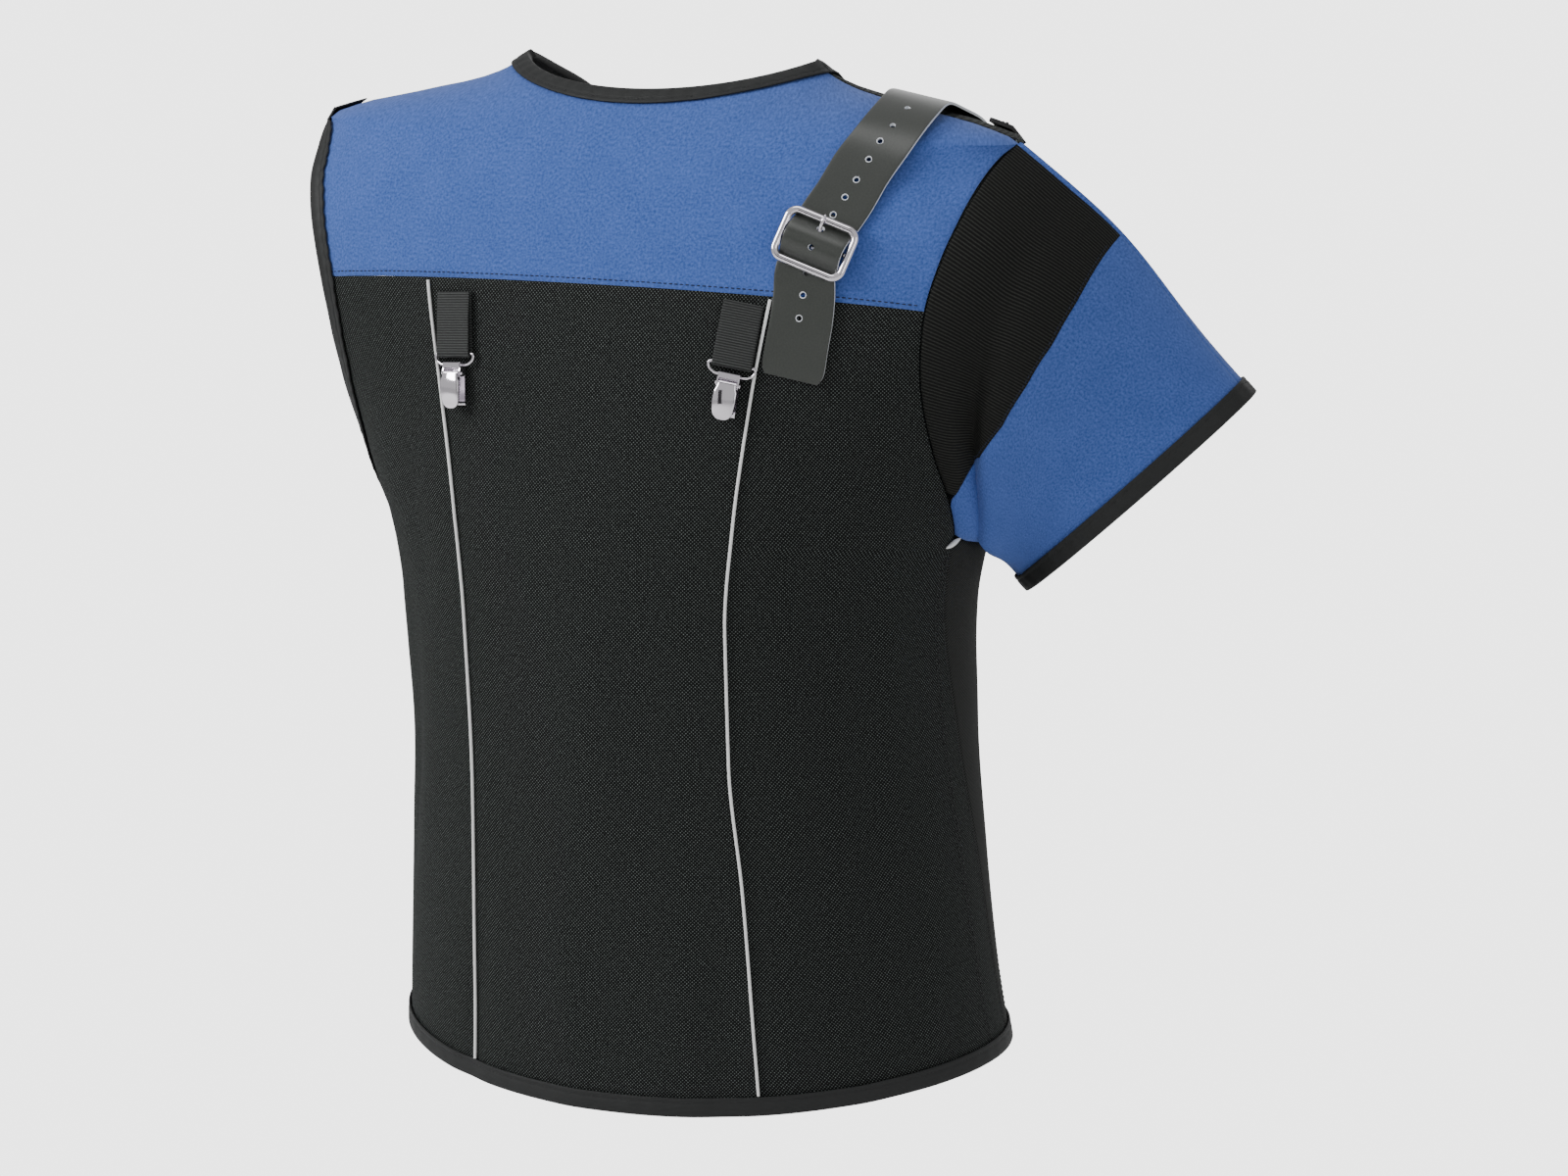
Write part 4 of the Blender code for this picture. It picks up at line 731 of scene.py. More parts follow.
# Materials. Each shared effect is a node group that gives a value from the cloth's own coordinates in metres.
def effect(name, inputs, outputs):
    # An empty group with its sockets: the tree, what comes in and what goes out.
    tree = bpy.data.node_groups.new(name, "ShaderNodeTree")
    tree.interface.new_socket(name="Place", in_out="INPUT", socket_type="NodeSocketVector")
    for label, value in inputs:
        made = tree.interface.new_socket(name=label, in_out="INPUT", socket_type="NodeSocketFloat")
        made.default_value = value
    for label in outputs:
        tree.interface.new_socket(name=label, in_out="OUTPUT", socket_type="NodeSocketFloat")
    return tree, tree.nodes.new("NodeGroupInput").outputs, tree.nodes.new("NodeGroupOutput").inputs


def feed(tree, node, socket, value):
    # A socket takes a number, or a link from another node.
    if isinstance(value, (int, float)):
        node.inputs[socket].default_value = value
    else:
        tree.links.new(value, node.inputs[socket])


def calc(tree, operation, *values):
    # A Math node's result from numbers or links.
    node = tree.nodes.new("ShaderNodeMath")
    node.operation = operation
    for k, value in enumerate(values):
        feed(tree, node, k, value)
    return node.outputs[0]


def noise(tree, place, scale, detail=3.0, rough=0.55):
    # A noise texture's value at a place.
    node = tree.nodes.new("ShaderNodeTexNoise")
    for label, value in (("Vector", place), ("Scale", scale), ("Detail", detail), ("Roughness", rough)):
        feed(tree, node, label, value)
    return node.outputs["Fac"]


def split(tree, place):
    # The two coordinates of a place on the cloth.
    node = tree.nodes.new("ShaderNodeSeparateXYZ")
    tree.links.new(place, node.inputs[0])
    return node.outputs[:2]


basket, given, gives = effect("BasketWeave", [("Pitch", 0.00175)], ["Height", "Fleck"])
put = functools.partial(calc, basket)
# Height: sin u * sin v, whose bumps stand in staggered rows.
turnU, turnV = (put("DIVIDE", put("MULTIPLY", way, 2 * math.pi), given["Pitch"])
                for way in split(basket, given["Place"]))
both = put("MULTIPLY", put("SINE", turnU), put("SINE", turnV))
basket.links.new(put("MULTIPLY_ADD", both, 0.5, 0.5), gives["Height"])
grainy = noise(basket, given["Place"], put("DIVIDE", 1.1, given["Pitch"]), 2.0)
# Fleck: the top of the bumps, as far as a noise lets it through.
through = put("MAXIMUM", put("MULTIPLY", put("SUBTRACT", grainy, 0.15), 1.9), 0.0)
fleck = put("MULTIPLY", put("POWER", put("MAXIMUM", both, 0.0), 1.6), put("SMOOTH_MIN", through, 1.0, 0.2))
basket.links.new(fleck, gives["Fleck"])

ribbing, given, gives = effect("Ribs", [("Pitch", 0.0018), ("Lean", 0.0)], ["Height", "Fleck"])
put = functools.partial(calc, ribbing)
u, v = split(ribbing, given["Place"])
cosine, sine = put("COSINE", given["Lean"]), put("SINE", given["Lean"])
# Distance across the ribs: u * cos lean + v * sin lean. Along them: v * cos lean - u * sin lean.
over = put("ADD", put("MULTIPLY", u, cosine), put("MULTIPLY", v, sine))
along = put("SUBTRACT", put("MULTIPLY", v, cosine), put("MULTIPLY", u, sine))
wave = put("SINE", put("DIVIDE", put("MULTIPLY", over, 2 * math.pi), given["Pitch"]))
height = put("MULTIPLY_ADD", wave, 0.5, 0.5)
twist = put("SINE", put("DIVIDE", put("MULTIPLY", along, 2 * math.pi), put("MULTIPLY", given["Pitch"], 0.55)))
ribbing.links.new(put("MULTIPLY_ADD", twist, 0.10, height), gives["Height"])
grainy = noise(ribbing, given["Place"], 700.0, 2.0)
fleck = put("MULTIPLY", put("POWER", height, 2.4), put("MULTIPLY_ADD", grainy, 0.9, 0.35))
ribbing.links.new(fleck, gives["Fleck"])

napping, given, gives = effect("Nap", [("Scale", 1.0)], ["Mottle", "Height"])
put = functools.partial(calc, napping)
fine = noise(napping, given["Place"], put("MULTIPLY", given["Scale"], 620.0), 3.0, 0.6)
broad = noise(napping, given["Place"], put("MULTIPLY", given["Scale"], 42.0), 2.0)
mottle = put("ADD", put("MULTIPLY", fine, 0.88), put("MULTIPLY", broad, 0.12))
napping.links.new(put("MULTIPLY_ADD", put("SUBTRACT", mottle, 0.5), 2.6, 0.5), gives["Mottle"])
napping.links.new(fine, gives["Height"])


def makeLook(name, colour, rough, metal=0.0, light=None, share=None, groupTree=None, settings=(), bump=0.0,
             extra=()):
    # Principled material: the group's value mixes its two colours, and the group's height drives a bump.
    look = bpy.data.materials.new(name)
    look.use_nodes = True
    tree = look.node_tree
    shader = tree.nodes["Principled BSDF"]
    plain = (("Base Color", (*colour, 1.0)), ("Roughness", rough), ("Metallic", metal))
    for label, value in plain + tuple(extra):
        shader.inputs[label].default_value = value
    look.diffuse_color = (*colour, 1.0)
    if not groupTree:
        return look
    kinds = ("UVMap", "Group", "Mix", "Bump")
    places, group, mix, relief = (tree.nodes.new("ShaderNode" + kind) for kind in kinds)
    places.uv_map = "UVMap"
    group.node_tree = groupTree
    for label, value in settings:
        group.inputs[label].default_value = value
    mix.data_type = "RGBA"
    mix.inputs["A"].default_value = (*colour, 1.0)
    mix.inputs["B"].default_value = (*light, 1.0)
    relief.inputs["Distance"].default_value = bump
    relief.inputs["Strength"].default_value = 0.6
    for start, end in ((places.outputs["UV"], group.inputs["Place"]),
                       (group.outputs[share], mix.inputs["Factor"]),
                       (mix.outputs["Result"], shader.inputs["Base Color"]),
                       (group.outputs["Height"], relief.inputs["Height"]),
                       (relief.outputs["Normal"], shader.inputs["Normal"])):
        tree.links.new(start, end)
    return look


def ribs(pitch, lean=0.0):
    # The ribbed group's settings: metres from rib to rib, and radians of lean.
    return {"groupTree": ribbing, "share": "Fleck", "settings": (("Pitch", pitch), ("Lean", lean))}


nap = {"groupTree": napping, "share": "Mottle"}
dull = (("Specular IOR Level", 0.2),)
suedeLook = makeLook("Suede", (0.026, 0.074, 0.27), 0.95, light=(0.092, 0.168, 0.52), bump=0.00035, **nap,
                     extra=(("Sheen Weight", 0.12), ("Sheen Roughness", 0.5), *dull))
canvasLook = makeLook("Canvas", (0.0020, 0.0024, 0.0023), 0.8, light=(0.19, 0.215, 0.205), bump=0.0004,
                      groupTree=basket, share="Fleck", settings=(("Pitch", 0.0023),),
                      extra=(("Specular IOR Level", 0.15),))
ribbedLook = makeLook("RibbedSleeve", (0.0016, 0.0017, 0.0015), 0.75, light=(0.034, 0.036, 0.032),
                      bump=0.0005, **ribs(0.0018, math.pi / 2), extra=dull)
gussetLook, gussetTurned = (
    makeLook(name, (0.0020, 0.0022, 0.0021), 0.75, light=(0.050, 0.054, 0.050), bump=0.0005,
             **ribs(0.0018, math.radians(lean)), extra=dull)
    for name, lean in (("RibbedGusset", 118.0), ("RibbedGussetTurned", 62.0)))
tapeLook = makeLook("Tape", (0.0065, 0.0072, 0.0072), 0.6, light=(0.018, 0.020, 0.020), bump=0.0001,
                    **ribs(0.0008, math.pi / 2), extra=(("Specular IOR Level", 0.4),))
whiteLook = makeLook("WhiteCord", (0.90, 0.91, 0.90), 0.5, light=(0.97, 0.97, 0.96), bump=0.0001,
                     **ribs(0.0007))
webLook = makeLook("Webbing", (0.004, 0.0045, 0.0045), 0.75, light=(0.060, 0.066, 0.064), bump=0.0004,
                   **ribs(0.0016))
leatherLook = makeLook("StrapLeather", (0.030, 0.034, 0.030), 0.36, light=(0.044, 0.048, 0.043), bump=0.00006,
                       **nap, settings=(("Scale", 1.4),),
                       extra=(("Coat Weight", 0.25), ("Coat Roughness", 0.35)))
edgeLook = makeLook("StrapEdge", (0.86, 0.89, 0.94), 0.55)
chromeLook = makeLook("Chrome", (0.90, 0.86, 0.92), 0.09, 1.0)
rubberLook = makeLook("Rubber", (0.012, 0.012, 0.013), 0.55)
threadLook = makeLook("DarkThread", (0.006, 0.006, 0.007), 0.6)
navyThread = makeLook("NavyThread", (0.004, 0.008, 0.025), 0.7)
print("materials set")


# Cut panels of the body.
def shares(length, step, keep=()):
    # Shares of a length, fine beside both edges and about one step apart between.
    near = np.array((0.0, 0.0005, 0.0012, 0.0022, 0.0038)) / length
    middle = np.linspace(near[-1], 1 - near[-1], max(int(round(length / step)), 2) + 1)
    return np.array(sorted(set(np.concatenate([near[:-1], middle, 1 - near[:-1], keep]).tolist())))


def panelGrid(first, last, bottom, top, columns, rows, hold=None, level=None):
    # Angles and heights of a patch between two side edges and two ends, inset for the seams. With hold, the
    # columns stand upright at first and bend to the last edge only near it. A level is a row: share, height.
    t, s = columns[None, :], rows[:, None]
    z = np.full((len(rows), len(columns)), -0.35)

    def angleAt(z):
        # Straight between the side edges, or bent by the square of the share.
        low, high = first(z) + seamInset, last(z) - seamInset
        return lerp(low, high, t) if hold is None else low + (hold - low) * t + (high - hold) * t ** 2

    for _ in range(40):
        angle = angleAt(z)
        low, high = bottom(angle) + seamGap / 2, top(angle) - seamGap / 2
        if level is None:
            z = 0.5 * z + 0.5 * lerp(low, high, s)
        else:
            share, middle = level[0], level[1](high)
            z = 0.5 * z + 0.5 * np.where(s <= share + 1e-9, lerp(low, middle, s / share),
                                         lerp(middle, high, (s - share) / (1 - share)))
    return angleAt(z), z


cuts = {}


def cutPanel(made, base):
    # The flat cut of a panel: its widest run each way, and the sum of its cells' areas.
    across, down = lengths(base, 1)[:, -1], lengths(base, 0)[-1]
    flat = (round(float(across.max()), 3), round(float(down.max()), 3))
    corner = base[:-1, :-1]
    cells = np.cross(base[1:, :-1] - corner, base[:-1, 1:] - corner)
    area = round(float(np.linalg.norm(cells, axis=-1).sum()), 4)
    cuts[made.name] = (flat, area)


def cutStrip(made, wide, long):
    # The flat cut of a straight strip.
    flat = (wide, round(float(long), 3))
    cuts[made.name] = flat


def bodyPanel(name, node, look, repaint, edges, ends, size, mirrored=False, keep=(), hold=None, level=None,
              pucker=0.0):
    # size is the panel's width, height and grid step; keep holds rows that must be there.
    width, height, step = size
    angle, z = panelGrid(*edges, *ends, shares(width, step), shares(height, step, keep), hold, level)
    base, out = body(angle, z), bodyNormal(angle, z)
    if mirrored:
        base, out = base * otherSide, out * otherSide
    made = sheetPiece(name, base, out, cloth, look, v=z, node=node, repaint=repaint, pucker=pucker)
    cutPanel(made, base)
    return (np.pi - angle if mirrored else angle), z


panels = {"step": 0.004, "yokeStep": 0.0035, "pucker": 0.00022}
yokeTip = 1 - tipZ / (yokeLow - yokeDroop)
bodyPanel("BackYoke", "back_yoke", suedeLook, "blue_suede", (backEdge, lambda z: math.pi - backEdge(z)),
          (yokeZ, lambda a: neckZ(a, "back")), (0.50, 0.125, panels["yokeStep"]), keep=(yokeTip,),
          level=(yokeTip, lambda high: np.full_like(high, tipZ)), pucker=panels["pucker"])
bodyPanel("BackCentre", "back_centre", canvasLook, "black_canvas",
          (pipingAngle, lambda z: math.pi - pipingAngle(z, "right")), (hemZ, yokeZ),
          (0.215, 0.52, panels["step"]))
frontTip = 1 - tipZ / hemLow
for side, mirrored in (("left", False), ("right", True)):
    cap = side.capitalize()
    bodyPanel("BackSide" + cap, "back_side_" + side, canvasLook, "black_canvas",
              (backEdge, lambda z, s=side: pipingAngle(z, s)), (hemZ, yokeZ), (0.15, 0.52, panels["step"]),
              mirrored)
    bodyPanel("SideGusset" + cap, "side_gusset_" + side, gussetTurned if mirrored else gussetLook,
              "black_ribbed", (frontEdge, lambda z: np.radians(gussetBackOf(z))), (hemZ, gussetTop),
              (0.08, 0.35, panels["step"]), mirrored)
    bodyPanel("Front" + cap, "front_" + side, canvasLook, "black_canvas",
              (lambda z: np.full_like(z, -quarter), frontEdge), (hemZ, lambda a: neckZ(a, "front")),
              (0.26, 0.60, panels["step"]), mirrored, keep=(frontTip,), hold=0.0,
              level=(frontTip, lambda high: np.minimum(tipZ, high - 0.012)))
print("body panels made", cuts)

# The sleeve.
sleeveSeams = {"around": seamGap / 0.6, "along": 0.0012, "step": 0.004, "top": 0.004, "backFrom": 0.014}
sleeveSize = {"round": 0.56, "along": 0.21}  # metres, for the weave's coordinates


def lowerStart(around):
    # The lower back piece starts at the diagonal seam, and past it at the armhole.
    return np.where(around < seamBack, np.maximum(diagonal(around), sleeveSeams["backFrom"]), 0.0)


def none(around):
    # An end at the armhole.
    return np.zeros_like(around)


def whole(around):
    # An end at the cuff.
    return np.ones_like(around)


def sleevePiece(name, node, look, repaint, span, ends, size):
    # span is where the piece starts and stops round the sleeve, ends along it, and size is in metres.
    around = lerp(span[0], span[1], shares(size[0], sleeveSeams["step"]))[None, :]
    rows = shares(size[1], sleeveSeams["step"])[:, None]
    along = lerp(ends[0](around), ends[1](around), rows)
    around = np.broadcast_to(around, along.shape)
    base, out = sleeve(around, along), sleeveNormal(around, along)
    made = sheetPiece(name, base, out, cloth, look, u=along * sleeveSize["along"],
                      v=around * sleeveSize["round"], node=node, repaint=repaint)
    cutPanel(made, base)


upperSpan = (sleeveSeams["top"], 0.358)
lowerSpan = (sleeveSeams["top"], 0.5 - 2 * sleeveSeams["around"])
frontSpan = (0.5 + sleeveSeams["around"], 1.0 + sleeveSeams["top"] - sleeveSeams["around"])
sleevePiece("SleeveBackUpper", "sleeve_back_upper", ribbedLook, "black_ribbed", upperSpan,
            (none, lambda a: lowerStart(a) - sleeveSeams["along"]), (0.2, 0.09))
sleevePiece("SleeveBackLower", "sleeve_back_lower", suedeLook, "blue_suede", lowerSpan, (lowerStart, whole),
            (0.26, 0.16))
sleevePiece("SleeveFront", "sleeve_front", suedeLook, "blue_suede", frontSpan, (none, whole), (0.28, 0.2))
print("sleeve made")


# Bindings: a tape folded round an edge. A pucker is its height and its length along the tape.
def tapePiece(name, node, sheet, normal, p, q, look, pucker, flip=False, wide=tapeWide, clear=0.0,
              scallop=0.0):
    # A section is the tape's wall: in over the cloth, round its edge and out over it, there and back.
    wide = np.broadcast_to(wide, p.shape)[:, None]
    clear = np.broadcast_to(clear, p.shape)[:, None]
    path, out = sheet(p, q), normal(p, q)
    inward = inwardOf(path, out, flip)
    steps = np.linalg.norm(np.diff(np.concatenate([path, path[:1]]), axis=0), axis=1)
    run = np.concatenate([[0.0], np.cumsum(steps)])
    waves = max(round(run[-1] / pucker[1]), 1)
    turn = run[:-1, None] * 2 * np.pi * waves / run[-1]
    # Pucker: sin turn + 0.4 sin 2.3 turn, whole waves round the edge.
    ripple = np.sin(turn) + 0.4 * np.sin(round(waves * 0.37) / waves * turn + 1.0)
    c, w, slot = tapeClear + clear, tapeWall, -0.0012
    legs = []
    for share in (0.22, 0.45, 0.62, 0.70, 0.78, 0.92, 1.0):
        reach = wide * share * (1 + scallop * ripple * (share > 0.8))
        farP, farQ = settle(sheet, p, q, path + inward * reach)
        legs.append((sheet(farP, farQ), normal(farP, farQ), share))

    def bulge(share):
        # Puckers, less a groove of 0.35 mm under the stitches and a turned-down edge.
        swell = pucker[0] * ripple * np.sin(np.pi * np.clip(share * 0.9 + 0.1, 0, 1))
        return swell - 0.00035 * np.exp(-((share - 0.70) / 0.06) ** 2) - 0.0003 * (share > 0.98)

    turns = np.linspace(math.pi / 2, -math.pi / 2, 9)
    middle, half = cloth / 2, cloth / 2 + c
    upOut = [spot + away * (cloth + c + w + bulge(share)) for spot, away, share in legs]
    upIn = [spot + away * (cloth + c) for spot, away, share in legs]
    lowIn = [spot - away * c for spot, away, share in legs]
    lowOut = [spot - away * (c + w - 0.0003 * (share > 0.98)) for spot, away, share in legs]
    foldOut = [path + inward * (slot - w * math.cos(t)) + out * (middle + (half + w) * math.sin(t))
               for t in turns]
    foldIn = [path + inward * (slot - 0.0002 * math.cos(t)) + out * (middle + half * math.sin(t))
              for t in turns]
    sections = np.stack(upOut[::-1] + foldOut + lowOut + lowIn[::-1] + foldIn[::-1] + upIn, 1)
    made = sweepPiece(name, sections, look, closed=True, node=node, repaint="grey_binding", sharp=50.0)
    cutStrip(made, tapes["cut"], run[-1])
    return path, out, inward, wide, (sheet, normal, p, q), clear


def tapeLine(tape, share=0.70):
    # A line over the tape at this share of its width, with its outward directions.
    path, out, inward, wide, (sheet, normal, p, q), clear = tape
    farP, farQ = settle(sheet, p, q, path + inward * wide * share)
    spot, away = sheet(farP, farQ), normal(farP, farQ)
    line = spot + away * (cloth + tapeClear + clear + tapeWall - 0.00035)
    return np.concatenate([line, line[:1]]), np.concatenate([away, away[:1]])


def edgeRun(angle, z, spacing):
    # Even steps along an open run of the body's sheet.
    line = np.concatenate([body(angle, z), np.stack([angle, z], -1)], -1)
    length = float(np.linalg.norm(np.diff(line[:, :3], axis=0), axis=1).sum())
    dense = resample(line, max(int(length / spacing), 3))
    return dense[:-1, 3], dense[:-1, 4]


def stacked(*runs):
    # Joins runs of angles and heights end to end.
    return [np.concatenate(part) for part in zip(*runs)]


tapes = {"cut": 0.024, "spacing": 0.0024, "hemPucker": (0.00012, 0.016), "neckPucker": (0.00035, 0.0105),
         "armPucker": (0.00030, 0.0095), "cuffPucker": (0.00025, 0.011)}
hemAngle = np.linspace(-quarter, 3 * quarter, 900)
hemP, hemQ = edgeRun(hemAngle, hemZ(hemAngle), tapes["spacing"])
hemTape = tapePiece("HemBinding", "hem_binding", body, bodyNormal, hemP, hemQ, tapeLook, tapes["hemPucker"])
backTurn = np.concatenate([neckLine["back"][0], math.pi - neckLine["back"][0][::-1][1:]])
backFall = np.concatenate([neckLine["back"][1], neckLine["back"][1][::-1][1:]])
frontTurn = np.concatenate([-math.pi + neckLine["front"][0], -neckLine["front"][0][::-1][1:]])
frontFall = np.concatenate([neckLine["front"][1], neckLine["front"][1][::-1][1:]])
neckP, neckQ = stacked(edgeRun(backTurn, backFall, tapes["spacing"]),
                       edgeRun(frontTurn, frontFall, tapes["spacing"]))
neckTape = tapePiece("NeckBinding", "neck_binding", body, bodyNormal, neckP, neckQ, tapeLook,
                     tapes["neckPucker"], flip=True)
armAngle, armZ = armholeLine(200)
armP, armQ = edgeRun(np.append(armAngle, armAngle[0]), np.append(armZ, armZ[0]), tapes["spacing"])
tip = bump(armQ, tipZ, 0.014)
armTape = tapePiece("ArmholeBinding", "armhole_binding_left", body, bodyNormal, armP, armQ, tapeLook,
                    tapes["armPucker"], wide=tapeWide - 0.0030 * tip, clear=0.0008 * tip, scallop=0.05)
cuffP = np.linspace(0.0, 1.0, 200, endpoint=False)
cuffTape = tapePiece("CuffBinding", "cuff_binding", sleeve, sleeveNormal, cuffP, np.ones(200), tapeLook,
                     tapes["cuffPucker"], flip=True)
print("bindings made")

# Topstitching, with each row's pitch, thread length, radius and height over the cloth.
thread = {"pitch": 0.0036, "length": 0.0026, "radius": 0.00038, "lift": 0.00018}


def sewn(angle, z, side=1):
    # A line on the body's cloth and its outward directions, mirrored at side -1.
    angle, z = np.broadcast_arrays(angle, z)
    out = bodyNormal(angle, z)
    return (body(angle, z) + out * cloth) * (side, 1, 1), out * (side, 1, 1)


def sleeveSewn(around, along):
    # The same on the sleeve.
    around, along = np.broadcast_arrays(around, along)
    out = sleeveNormal(around, along)
    return sleeve(around, along) + out * cloth, out


yokeFan = np.linspace(yokeEnd + 0.03, math.pi - yokeEnd - 0.03, 160)
stitches("YokeStitches", [sewn(yokeFan, yokeZ(yokeFan) + 0.0030)], thread, navyThread, "blue_suede")
dartOf = smooth(((-0.316, 12.4), (-0.370, 10.1), (-0.4335, 7.3), (-0.5404, 2.9), (-0.633, 0.0)), 1)
rows = []
sideFall = np.linspace(-0.632, -0.300, 120)
for sign in (1, -1):
    for edge, shift in ((gussetBackOf, 0.016), (gussetFrontOf, -0.016)):
        rows.append(sewn(np.radians(edge(sideFall)) + shift, sideFall, sign))
    for shift in (0.0, 1.1):
        rows.append(sewn(np.radians(dartOf(sideFall) + shift), sideFall, sign))
centreFall = np.linspace(-0.630, -0.178, 160)
rows += [sewn(-quarter + shift, centreFall) for shift in (0.022, -0.022)]
stitches("PanelStitches", rows, thread, threadLook)
tapeThread = dict(thread, lift=-0.00012, pitch=0.0032)
stitches("TapeStitches", [tapeLine(tape) for tape in (hemTape, neckTape, armTape, cuffTape)], tapeThread,
         threadLook, "grey_binding")
seamRound = np.linspace(0.03, 0.345, 100)
seamRows = [sleeveSewn(seamRound, lowerStart(seamRound) - 0.012)]
stitches("SleeveStitches", seamRows, dict(thread, pitch=0.0034), navyThread, "blue_suede")
print("stitches made")

# White pipings in the two back seams, and the short one under the right arm.
pipings = {"radius": 0.0010, "lift": 0.0015, "underRadius": 0.0014}
for side, sign in (("left", 1), ("right", -1)):
    z = np.linspace(hemLow - hemDip * 0.79 + 0.0114, yokeLow - yokeDroop * 0.35 - 0.0010, 220)
    angle = pipingAngle(z, side)
    line = (body(angle, z) + bodyNormal(angle, z) * (cloth + pipings["lift"])) * (sign, 1, 1)
    sweepPiece("Piping" + side.capitalize(), tubeSections(line, pipings["radius"], 10), whiteLook,
               node="piping_" + side, repaint="white_piping")
under = {"from": (165.6, -0.2945), "to": (170.0, -0.2890), "lift": 0.0014}
share = np.linspace(0.0, 1.0, 24)
angle = np.radians(lerp(under["from"][0], under["to"][0], share))
z = lerp(under["from"][1], under["to"][1], share ** 1.3)
line = body(angle, z) + bodyNormal(angle, z) * (cloth + under["lift"])
radius = pipings["underRadius"] * (0.15 + np.sin(np.pi * share) ** 0.7)
sweepPiece("PipingUnderarm", tubeSections(line, radius, 10), whiteLook, repaint="white_piping")
print("pipings made")

# Webbing loops and clips.
webbing = {"columns": (-1.0, -0.985, -0.93, -0.8, -0.4, 0.0, 0.4, 0.8, 0.93, 0.985, 1.0), "wide": 0.025,
           "rows": 150}
# Sizes of a clip in mm. Outlines go down from the wire's top bar and out from the cloth, and halves across.
clip = {
    "earOutline": ((8.4, -1.5), (8.4, 3.3), (10.4, 3.9), (12.3, 4.2), (13.5, 3.9), (14.2, 3.1), (14.1, -0.2),
                   (12.5, -1.45)),
    "earAcross": 6.55, "earHalf": 0.5,
    "plateOutline": ((8.8, -2.2), (8.8, -1.1), (31.0, -1.1), (32.0, -1.6), (31.0, -2.2), (20.0, -2.2)),
    "plateHalf": 6.85,
    "blockHalf": 6.9, "blockDeep": 2.1, "blockOut": 3.8, "blockIn": 2.2, "blockBore": 1.12, "blockEdge": 0.3,
    "pinHalf": 8.0, "pinRadius": 1.0,
    "knuckleHalf": 5.6, "knuckleBore": 1.2, "knuckleRadius": 2.1,
    "leverFrom": 11.6, "leverLong": 22.3, "leverRise": 4.3, "leverArch": 1.3, "leverDome": 0.9,
    "leverWall": 1.1, "leverRim": 0.45,
    "leverWide": ((0.0, 5.6), (0.12, 6.2), (0.22, 7.1), (0.45, 7.2), (0.70, 6.8), (0.84, 6.1), (0.92, 5.0),
                  (0.97, 3.6), (1.0, 1.7)),  # share along the lever, half width
}


def webbingLoop(side, fold, across, down, out, length):
    # Walk of the webbing's middle: down the cloth, half round the wire, and up again in front.
    top, back, mid = -(length - foldRadius - webThick), -(foldRadius + webThick), foldRadius + webThick / 2
    line = [(top, back + webThick / 2), (top * 0.5, back + webThick / 2)]
    line += [(mid * math.cos(t), mid * math.sin(t)) for t in np.linspace(-quarter, quarter, 14)]
    line += [(top + 16, -back * 0.75 - webThick / 2), (top, back + 1.5 * webThick + 0.4)]
    line = resample(np.array(line), webbing["rows"]) * mm
    run = unit(np.gradient(line, axis=0))
    outward = np.stack([run[:, 1], -run[:, 0]], -1)
    spread = np.array(webbing["columns"]) * webHalf * mm
    thin = 0.5 * webThick * mm * (1 - 0.45 * (np.abs(spread) / spread.max()) ** 30)

    def layer(sign):
        # One face: the walk moved out by half the wall, which thins at both edges.
        flatLine = line[:, None] + sign * outward[:, None] * thin[None, :, None]
        return fold + across * spread[None, :, None] + down * flatLine[..., :1] + out * flatLine[..., 1:]

    walk = lengths(line[:, None], 0)[:, 0]
    u, v = np.repeat(walk[:, None], len(spread), 1), np.repeat(spread[None], len(walk), 0)
    made = makePiece("WebbingLoop" + side.capitalize(), *closedWall(layer(-1), layer(1), u, v), webLook,
                     node="webbing_loop_" + side, repaint="black_webbing", sharp=60.0)
    cutStrip(made, webbing["wide"], walk[-1])


def clipWire(side, spot, out):
    # Round wire along its closed centre line.
    half = list(wireLine) + [(-a, d) for a, d in wireLine[-2:0:-1]]
    wire = curve(np.array([spot(a * mm, d * mm, 0.0) for a, d in half]), 140, True)
    sweepPiece("ClipWire" + side.capitalize(), tubeSections(wire, wireRadius * mm, 14, True, out), chromeLook,
               closed=True, node="clip_wire_" + side, body="clip_loop_" + side, repaint="chrome", sharp=80.0)


def prism(name, spot, outline, half, centre=0.0):
    # Block of one outline between two planes across the clip.
    outline = np.array(outline) * mm
    sides = [[spot(centre * mm + a * mm, d, n) for d, n in outline] for a in (-half, half)]
    return sweepPiece(name, np.array(sides), chromeLook, body=None)


def boredBar(name, spot, core, rays, sizes):
    # A bar round a bore: each section has a place across and a reach along the rays.
    rings = [np.array([spot(a * mm, d * mm, n * mm) for d, n in core + rays * size]) for a, size in sizes]
    return sweepPiece(name, np.stack(rings, 1), chromeLook, closed=True, body=None)


